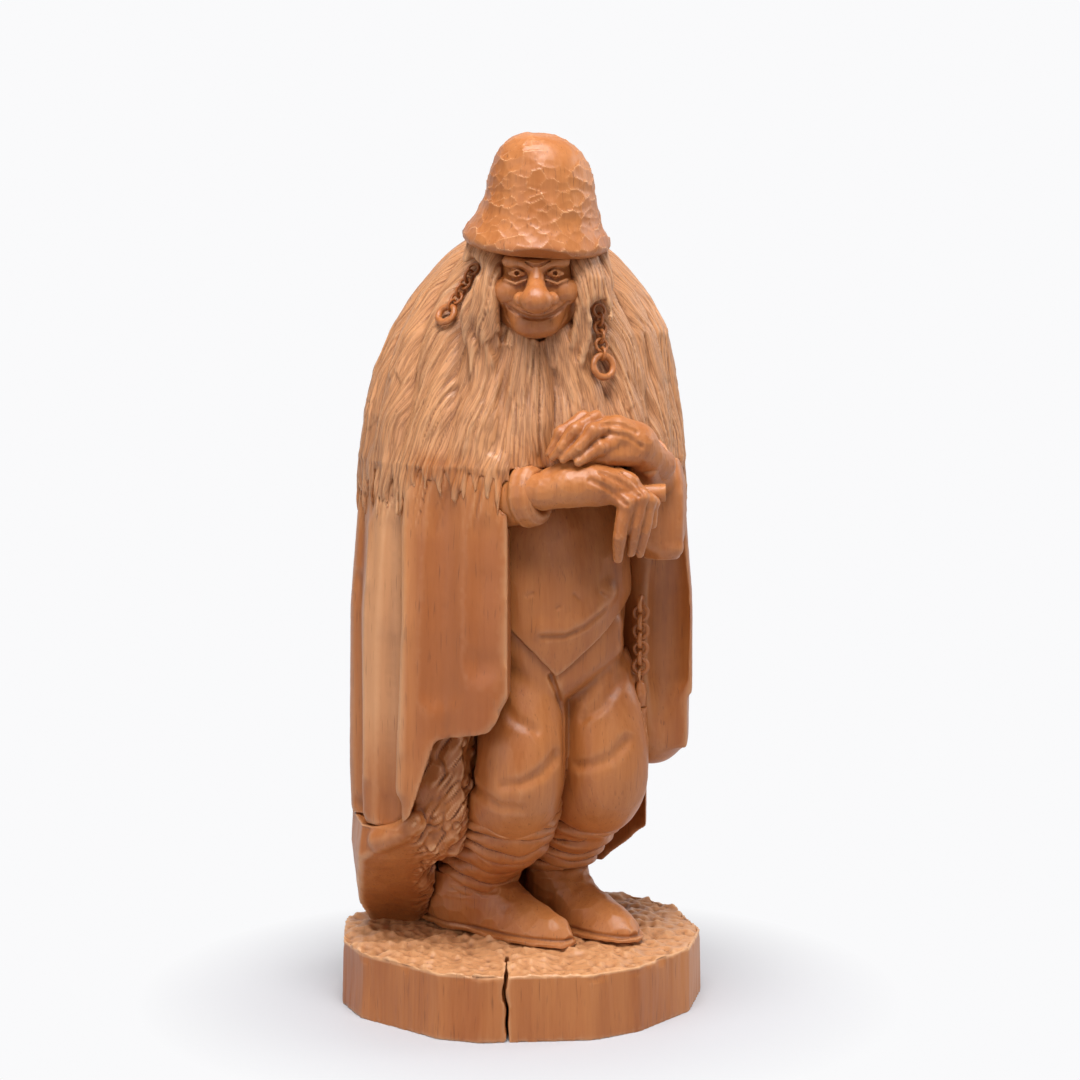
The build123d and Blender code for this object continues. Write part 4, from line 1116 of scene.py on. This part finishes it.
def make_chain_tree():
    """Links on a line, each turned by a quarter from the one before, and none quite alike."""
    tree = bpy.data.node_groups.new("chain", "GeometryNodeTree")
    for name, kind in (
        ("Line", "Geometry"),
        ("Links", "Int"),
        ("Link Radius", "Float"),
        ("Wire Radius", "Float"),
        ("Run", "Vector"),
        ("Outward", "Vector"),
        ("Across", "Vector"),
        ("Smallest", "Float"),
        ("Largest", "Float"),
        ("Seed", "Int"),
    ):
        tree.interface.new_socket(name, in_out="INPUT", socket_type="NodeSocket" + kind)
    tree.interface.new_socket("Chain", in_out="OUTPUT", socket_type="NodeSocketGeometry")
    given = tree.nodes.new("NodeGroupInput").outputs
    line = add_node(tree, "GeometryNodeMeshToCurve", Mesh=given["Line"])
    spots = add_node(
        tree, "GeometryNodeResampleCurve", {"mode": "COUNT"}, Curve=line.outputs[0], Count=given["Links"]
    )
    ring = add_node(tree, "GeometryNodeCurvePrimitiveCircle", Resolution=28, Radius=given["Link Radius"])
    wire = add_node(tree, "GeometryNodeCurvePrimitiveCircle", Resolution=10, Radius=given["Wire Radius"])
    link = add_node(tree, "GeometryNodeCurveToMesh", Curve=ring.outputs[0], Profile_Curve=wire.outputs[0])
    number = add_node(tree, "GeometryNodeInputIndex")
    odd = add_node(tree, "FunctionNodeIntegerMath", {"operation": "MODULO"})
    plug(tree, odd.inputs[0], number.outputs[0])
    plug(tree, odd.inputs[1], 2)
    axis = add_node(
        tree,
        "GeometryNodeSwitch",
        {"input_type": "VECTOR"},
        Switch=odd.outputs[0],
        False_=given["Outward"],
        True_=given["Across"],
    )
    turn = add_node(
        tree,
        "FunctionNodeAxesToRotation",
        {"primary_axis": "Z", "secondary_axis": "X"},
        Primary_Axis=axis.outputs[0],
        Secondary_Axis=given["Run"],
    )
    size = add_node(tree, "FunctionNodeRandomValue", {"data_type": "FLOAT"}, Seed=given["Seed"])
    plug(tree, size.inputs[2], given["Smallest"])
    plug(tree, size.inputs[3], given["Largest"])
    links = add_node(
        tree,
        "GeometryNodeInstanceOnPoints",
        Points=spots.outputs[0],
        Instance=link.outputs[0],
        Rotation=turn.outputs[0],
        Scale=size.outputs[1],
    )
    whole = add_node(tree, "GeometryNodeRealizeInstances", Geometry=links.outputs[0])
    smooth = add_node(tree, "GeometryNodeSetShadeSmooth", Geometry=whole.outputs[0])
    coloured = add_node(tree, "GeometryNodeSetMaterial", Geometry=smooth.outputs[0], Material=wood)
    tree.links.new(coloured.outputs[0], tree.nodes.new("NodeGroupOutput").inputs[0])
    return tree


def hang_chain(name, count, link, tree):
    """A chain where the frame's node of that name is."""
    corners = corners_of(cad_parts[name].data).astype(float)
    middle = (corners.min(0) + corners.max(0)) / 2
    run = np.linalg.svd(corners - corners.mean(0), full_matrices=False)[2][0]
    run = run * -np.sign(run[2])
    along = (corners - middle) @ run
    first_end = corners[along < along.min() + link[1] * MM]
    across = np.linalg.svd(first_end - first_end.mean(0), full_matrices=False)[2][0]
    across = across - run * (across @ run)
    across = across / np.linalg.norm(across)
    inset = (link[0] + link[1]) * MM
    start = middle + run * (along.min() + inset)
    end = middle + run * (along.max() - inset)
    line = bpy.data.meshes.new(name)
    line.from_pydata([start, end], [(0, 1)], [])
    holder = place_object(name + "_carved", line)
    maker = holder.modifiers.new("links", "NODES")
    maker.node_group = tree
    values = {
        "Links": count,
        "Link Radius": link[0] * MM,
        "Wire Radius": link[1] * MM,
        "Run": run,
        "Outward": np.cross(run, across),
        "Across": across,
        "Smallest": 1 - LINK_UNEVENNESS,
        "Largest": 1 + LINK_UNEVENNESS,
        "Seed": CHAIN_SEED,
    }
    for item in tree.interface.items_tree:
        if item.name in values:
            maker[item.identifier] = values[item.name]
    bpy.context.view_layer.update()
    ready = bpy.data.meshes.new_from_object(holder.evaluated_get(bpy.context.evaluated_depsgraph_get()))
    holder.modifiers.clear()
    holder.data = ready
    pieces[name] = holder
    print(name, count, "links,", len(ready.polygons), "faces")


print("chains of", EAR_LINKS, "and", KNIFE_LINKS, "links")

# %% [markdown]
# ## The wood
# The whole figure is one finish: a warm, close-grained wood with fine pores along the trunk, rubbed with
# wax. Fine hollows hold dark wax and wide recesses get painted shade; ridges are worn pale and, with the
# proud parts, get a painted highlight. Its nodes could be drawn by hand in the shader editor. Here a small
# class lets their maths read as plain sums, so that each line says what it does.

# %% Shader maths


class Sum:
    """A shader socket that can be added, subtracted and multiplied like a number."""

    def __init__(self, tree, socket):
        self.tree = tree
        self.socket = socket

    def math(self, operation, first, second=None):
        """A node for one step of the sum."""
        node = self.tree.nodes.new("ShaderNodeMath")
        node.operation = operation
        for slot, value in zip(node.inputs, (first, second)):
            plug(self.tree, slot, value)
        return Sum(self.tree, node.outputs[0])

    def __add__(self, other):
        return self.math("ADD", self, other)

    __radd__ = __add__

    def __mul__(self, other):
        return self.math("MULTIPLY", self, other)

    __rmul__ = __mul__

    def __sub__(self, other):
        return self.math("SUBTRACT", self, other)

    def __rsub__(self, other):
        return self.math("SUBTRACT", other, self)

    def __abs__(self):
        return self.math("ABSOLUTE", self)

    def held(self):
        """This number held between 0 and 1."""
        return self.math("MINIMUM", self.math("MAXIMUM", self, 0.0), 1.0)


def mixed(tree, share, first, second):
    """A colour between two others."""
    node = tree.nodes.new("ShaderNodeMix")
    node.data_type = "RGBA"
    for number, value in ((0, share), (6, first), (7, second)):
        plug(tree, node.inputs[number], value)
    return node.outputs[2]


print("shader sums ready")

# %% [markdown]
# ## Grain, wax, wear and painted light
# Four noises stretched along the trunk make fibres, streaks, patches and pores. An image of wood would
# need an unwrapped surface, while noise in Object coordinates runs through the block as real grain does.
# The numbers stored on the points darken the hollows with wax and painted shade, lighten the ridges with
# wear and a painted highlight, and paint shade or light onto single places.

# %% Wood finish
PALE_WOOD = (0.49, 0.178, 0.049, 1)
DARK_WOOD = (0.33, 0.091, 0.017, 1)
# Dark wax in pores, cuts and fine hollows, and painted shade in wide recesses.
DARK_WAX_AND_SHADE = (0.110, 0.030, 0.008, 1)
# Wood worn pale on ridges, with painted light on proud parts, the fur, the base's top and the cloak's left
# flutes.
WORN_AND_PAINTED_LIGHT_WOOD = (0.74, 0.42, 0.215, 1)
# Painted shade under the brim and on the cloak's front panel.
PAINTED_SHADE_WOOD = (0.30, 0.078, 0.014, 1)
PEG_PALE = (0.68, 0.47, 0.26, 1)
PEG_DARK = (0.52, 0.33, 0.16, 1)
FINE_STRAND = 0.9
# How strongly painted shading, wax with painted shade, and wear with painted highlight are mixed in.
PAINTED_SHADING_SHARE = 0.7
WAX_AND_SHADE_SHARE = 0.8
WEAR_AND_HIGHLIGHT_SHARE = 0.6
ROUGHNESS = 0.44
BUMP_STRENGTH = 0.25
BUMP_DEPTH = 0.0004
SPECULAR = 0.5


def make_wood(name, stranded=False, colours=(DARK_WOOD, PALE_WOOD)):
    """The carved wood, with fine cut strands along the hair's flow where it is stranded."""
    finish = bpy.data.materials.new(name)
    finish.use_nodes = True
    tree = finish.node_tree
    shader = tree.nodes["Principled BSDF"]
    place = add_node(tree, "ShaderNodeTexCoord").outputs["Object"]

    def grain(scale, stretch, detail=3.0):
        mapping = add_node(tree, "ShaderNodeMapping", Vector=place, Scale=(scale, scale, scale * stretch))
        texture = add_node(tree, "ShaderNodeTexNoise", Vector=mapping.outputs[0], Scale=1.0, Detail=detail)
        return Sum(tree, texture.outputs[0])

    def stored(key, socket="Fac"):
        return add_node(tree, "ShaderNodeAttribute", {"attribute_name": key}).outputs[socket]

    fibre = grain(700, 0.05)
    streak = grain(90, 0.08)
    patch = grain(22, 0.5, 2.0)
    pore = grain(1500, 0.06, 1.0)
    hollow = Sum(tree, stored("hollow"))
    recess = Sum(tree, stored("recess"))
    tone = (0.5 + (fibre - 0.5) * 0.8 + (streak - 0.5) * 1.3 + (patch - 0.5) * 1.6).held()
    colour = mixed(tree, tone, *colours)
    # Painted shading stored on the points: painted shade where it is positive, painted light where it is
    # negative.
    painted_shading = Sum(tree, stored("painted_shading"))
    colour = mixed(tree, painted_shading.held() * PAINTED_SHADING_SHARE, colour, PAINTED_SHADE_WOOD)
    colour = mixed(tree, (painted_shading * -1).held() * PAINTED_SHADING_SHARE, colour, WORN_AND_PAINTED_LIGHT_WOOD)
    colour = mixed(tree, ((pore - 0.64) * 7).held() * 0.5, colour, DARK_WAX_AND_SHADE)
    height = fibre * 0.5 + pore * -0.5
    if stranded:
        hair = add_node(
            tree, "ShaderNodeTexNoise", Vector=stored("flow", "Vector"), Scale=1 / FINE_STRAND, Detail=1.0
        )
        cut = (1 - abs(Sum(tree, hair.outputs[0]) - 0.5) * 9).held()
        colour = mixed(tree, cut * 0.45, colour, DARK_WAX_AND_SHADE)
        height = height + cut * -2.0
    # Dark wax in the fine hollows, and painted shade in the wide recesses.
    colour = mixed(tree, (hollow * 2.2 + recess * 0.45 - 0.08).held() * WAX_AND_SHADE_SHARE, colour, DARK_WAX_AND_SHADE)
    # Ridges worn pale, with a painted highlight on them and on the proud parts.
    colour = mixed(tree, (hollow * -2.6 + recess * -0.4 - 0.1).held() * WEAR_AND_HIGHLIGHT_SHARE, colour, WORN_AND_PAINTED_LIGHT_WOOD)
    rough = ROUGHNESS + (fibre - 0.5) * 0.2 + (hollow * 1.5).held() * 0.25
    bump = add_node(tree, "ShaderNodeBump", Height=height, Strength=BUMP_STRENGTH, Distance=BUMP_DEPTH)
    plug(tree, shader.inputs["Base Color"], colour)
    plug(tree, shader.inputs["Roughness"], rough)
    plug(tree, shader.inputs["Normal"], bump.outputs[0])
    plug(tree, shader.inputs["Specular IOR Level"], SPECULAR)
    return finish


wood = make_wood("carved_wood")
fur_wood = make_wood("carved_fur", stranded=True)
peg_wood = make_wood("peg_wood", colours=(PEG_DARK, PEG_PALE))
print("finishes:", wood.name, fur_wood.name, peg_wood.name)

# %% [markdown]
# ## Dressing the figure
# Every carved piece gets its finish and takes the place of its frame node, on the figure's one body. The
# hidden pegs stay as the frame has them, in a paler wood. Each could be set by hand, but a loop forgets
# none.

# %% Dressing
for piece in pieces.values():
    piece.data.materials.append(fur_wood if "flow" in piece.data.attributes else wood)
chain_tree = make_chain_tree()
for name in ("right_ear_chain", "left_ear_chain"):
    hang_chain(name, EAR_LINKS, EAR_LINK, chain_tree)
hang_chain("knife_chain", KNIFE_LINKS, KNIFE_LINK, chain_tree)
for name, piece in pieces.items():
    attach(piece, "root")
    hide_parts(name)
for name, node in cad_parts.items():
    if name not in pieces:
        node.data.materials.clear()
        node.data.materials.append(peg_wood)
print("wood on", len(pieces), "pieces")

# %% [markdown]
# ## Studio
# The photograph was lit by a large soft light from above and a little to the left, on white paper that
# runs up behind the figure. A plain white plane would turn grey in this light. Instead, the paper far
# from the figure shows plain white to the camera, and near the figure it is lit like anything else and
# keeps the soft shadow.

# %% Paper
SWEEP = ((-1.2, 0.0), (0.9, 0.0), (1.3, 0.06), (1.6, 0.25), (1.75, 0.6), (1.8, 2.5))
SWEEP_HALF_WIDTH = 3.0
PAPER = (0.52, 0.515, 0.545, 1)
WHITE = (0.955, 0.955, 0.965, 1)
SHADOW_START = 0.055
SHADOW_REACH = 0.085


def seen_ray(tree):
    """One for the rays of the camera and for those that reach it off or through something shiny."""
    path = add_node(tree, "ShaderNodeLightPath")
    kinds = [Sum(tree, path.outputs[f"Is {kind} Ray"]) for kind in ("Camera", "Glossy", "Transmission")]
    return (kinds[0] + kinds[1] + kinds[2]).held()


def blend_shaders(tree, share, first, second, output):
    """Sends a mix of two shaders to the tree's output node."""
    blend = tree.nodes.new("ShaderNodeMixShader")
    for slot, value in zip(blend.inputs, (share, first.outputs[0], second.outputs[0])):
        plug(tree, slot, value)
    tree.links.new(blend.outputs[0], tree.nodes[output].inputs["Surface"])


def make_paper():
    """White paper that keeps the shadow near the figure."""
    paper = bpy.data.materials.new("paper")
    paper.use_nodes = True
    tree = paper.node_tree
    shader = tree.nodes["Principled BSDF"]
    shader.inputs["Base Color"].default_value = PAPER
    shader.inputs["Roughness"].default_value = 0.6
    white = add_node(tree, "ShaderNodeEmission", Color=WHITE)
    ray = seen_ray(tree)
    place = add_node(tree, "ShaderNodeTexCoord").outputs["Object"]
    away = add_node(tree, "ShaderNodeVectorMath", {"operation": "LENGTH"})
    tree.links.new(place, away.inputs[0])
    far = ((Sum(tree, away.outputs["Value"]) - SHADOW_START) * (1 / SHADOW_REACH)).held()
    blend_shaders(tree, far * ray, shader, white, "Material Output")
    return paper


sweep_mesh = bpy.data.meshes.new("paper")
rows = [(side * SWEEP_HALF_WIDTH, y, z) for y, z in SWEEP for side in (-1, 1)]
strips = [(2 * n, 2 * n + 1, 2 * n + 3, 2 * n + 2) for n in range(len(SWEEP) - 1)]
sweep_mesh.from_pydata(rows, [], strips)
sweep_mesh.shade_smooth()
sweep_mesh.materials.append(make_paper())
sweep = place_object("paper", sweep_mesh)
print("paper", 2 * SWEEP_HALF_WIDTH, "m wide")

# %% [markdown]
# ## Light
# One big lamp above gives the soft top light of the photograph, and three weaker ones keep the sides
# from going black. The world could light everything evenly, but then the cuts would lose their shadows,
# so it stays weak.

# %% Lights
LAMPS = {
    "top_light": ((0.0, -0.42, 1.15), 0.7, 17.5),
    "left_light": ((-1.1, -0.9, 0.6), 0.9, 4.8),
    "front_fill": ((0.6, -1.4, 0.5), 1.0, 2.2),
    "right_rim": ((1.1, 0.35, 0.7), 0.6, 5.0),
}
LIT_POINT = Vector((0, 0, 0.15))
WORLD_COLOUR = (0.97, 0.98, 1, 1)
WORLD_STRENGTH = 0.2

for name, (place, size, watts) in LAMPS.items():
    light = bpy.data.lights.new(name, "AREA")
    light.shape = "DISK"
    light.size = size
    light.energy = watts
    lamp = place_object(name, light)
    lamp.location = place
    lamp.rotation_euler = (LIT_POINT - Vector(place)).to_track_quat("-Z", "Y").to_euler()
world = bpy.data.worlds.new("studio")
world.use_nodes = True
tree = world.node_tree
ambient = tree.nodes["Background"]
ambient.inputs["Color"].default_value = WORLD_COLOUR
ambient.inputs["Strength"].default_value = WORLD_STRENGTH
backdrop = add_node(tree, "ShaderNodeBackground", Color=WHITE)
camera_ray = add_node(tree, "ShaderNodeLightPath").outputs["Is Camera Ray"]
blend_shaders(tree, camera_ray, ambient, backdrop, "World Output")
bpy.context.scene.world = world
bpy.context.scene.view_settings.view_transform = "Standard"
print(len(LAMPS), "lamps")
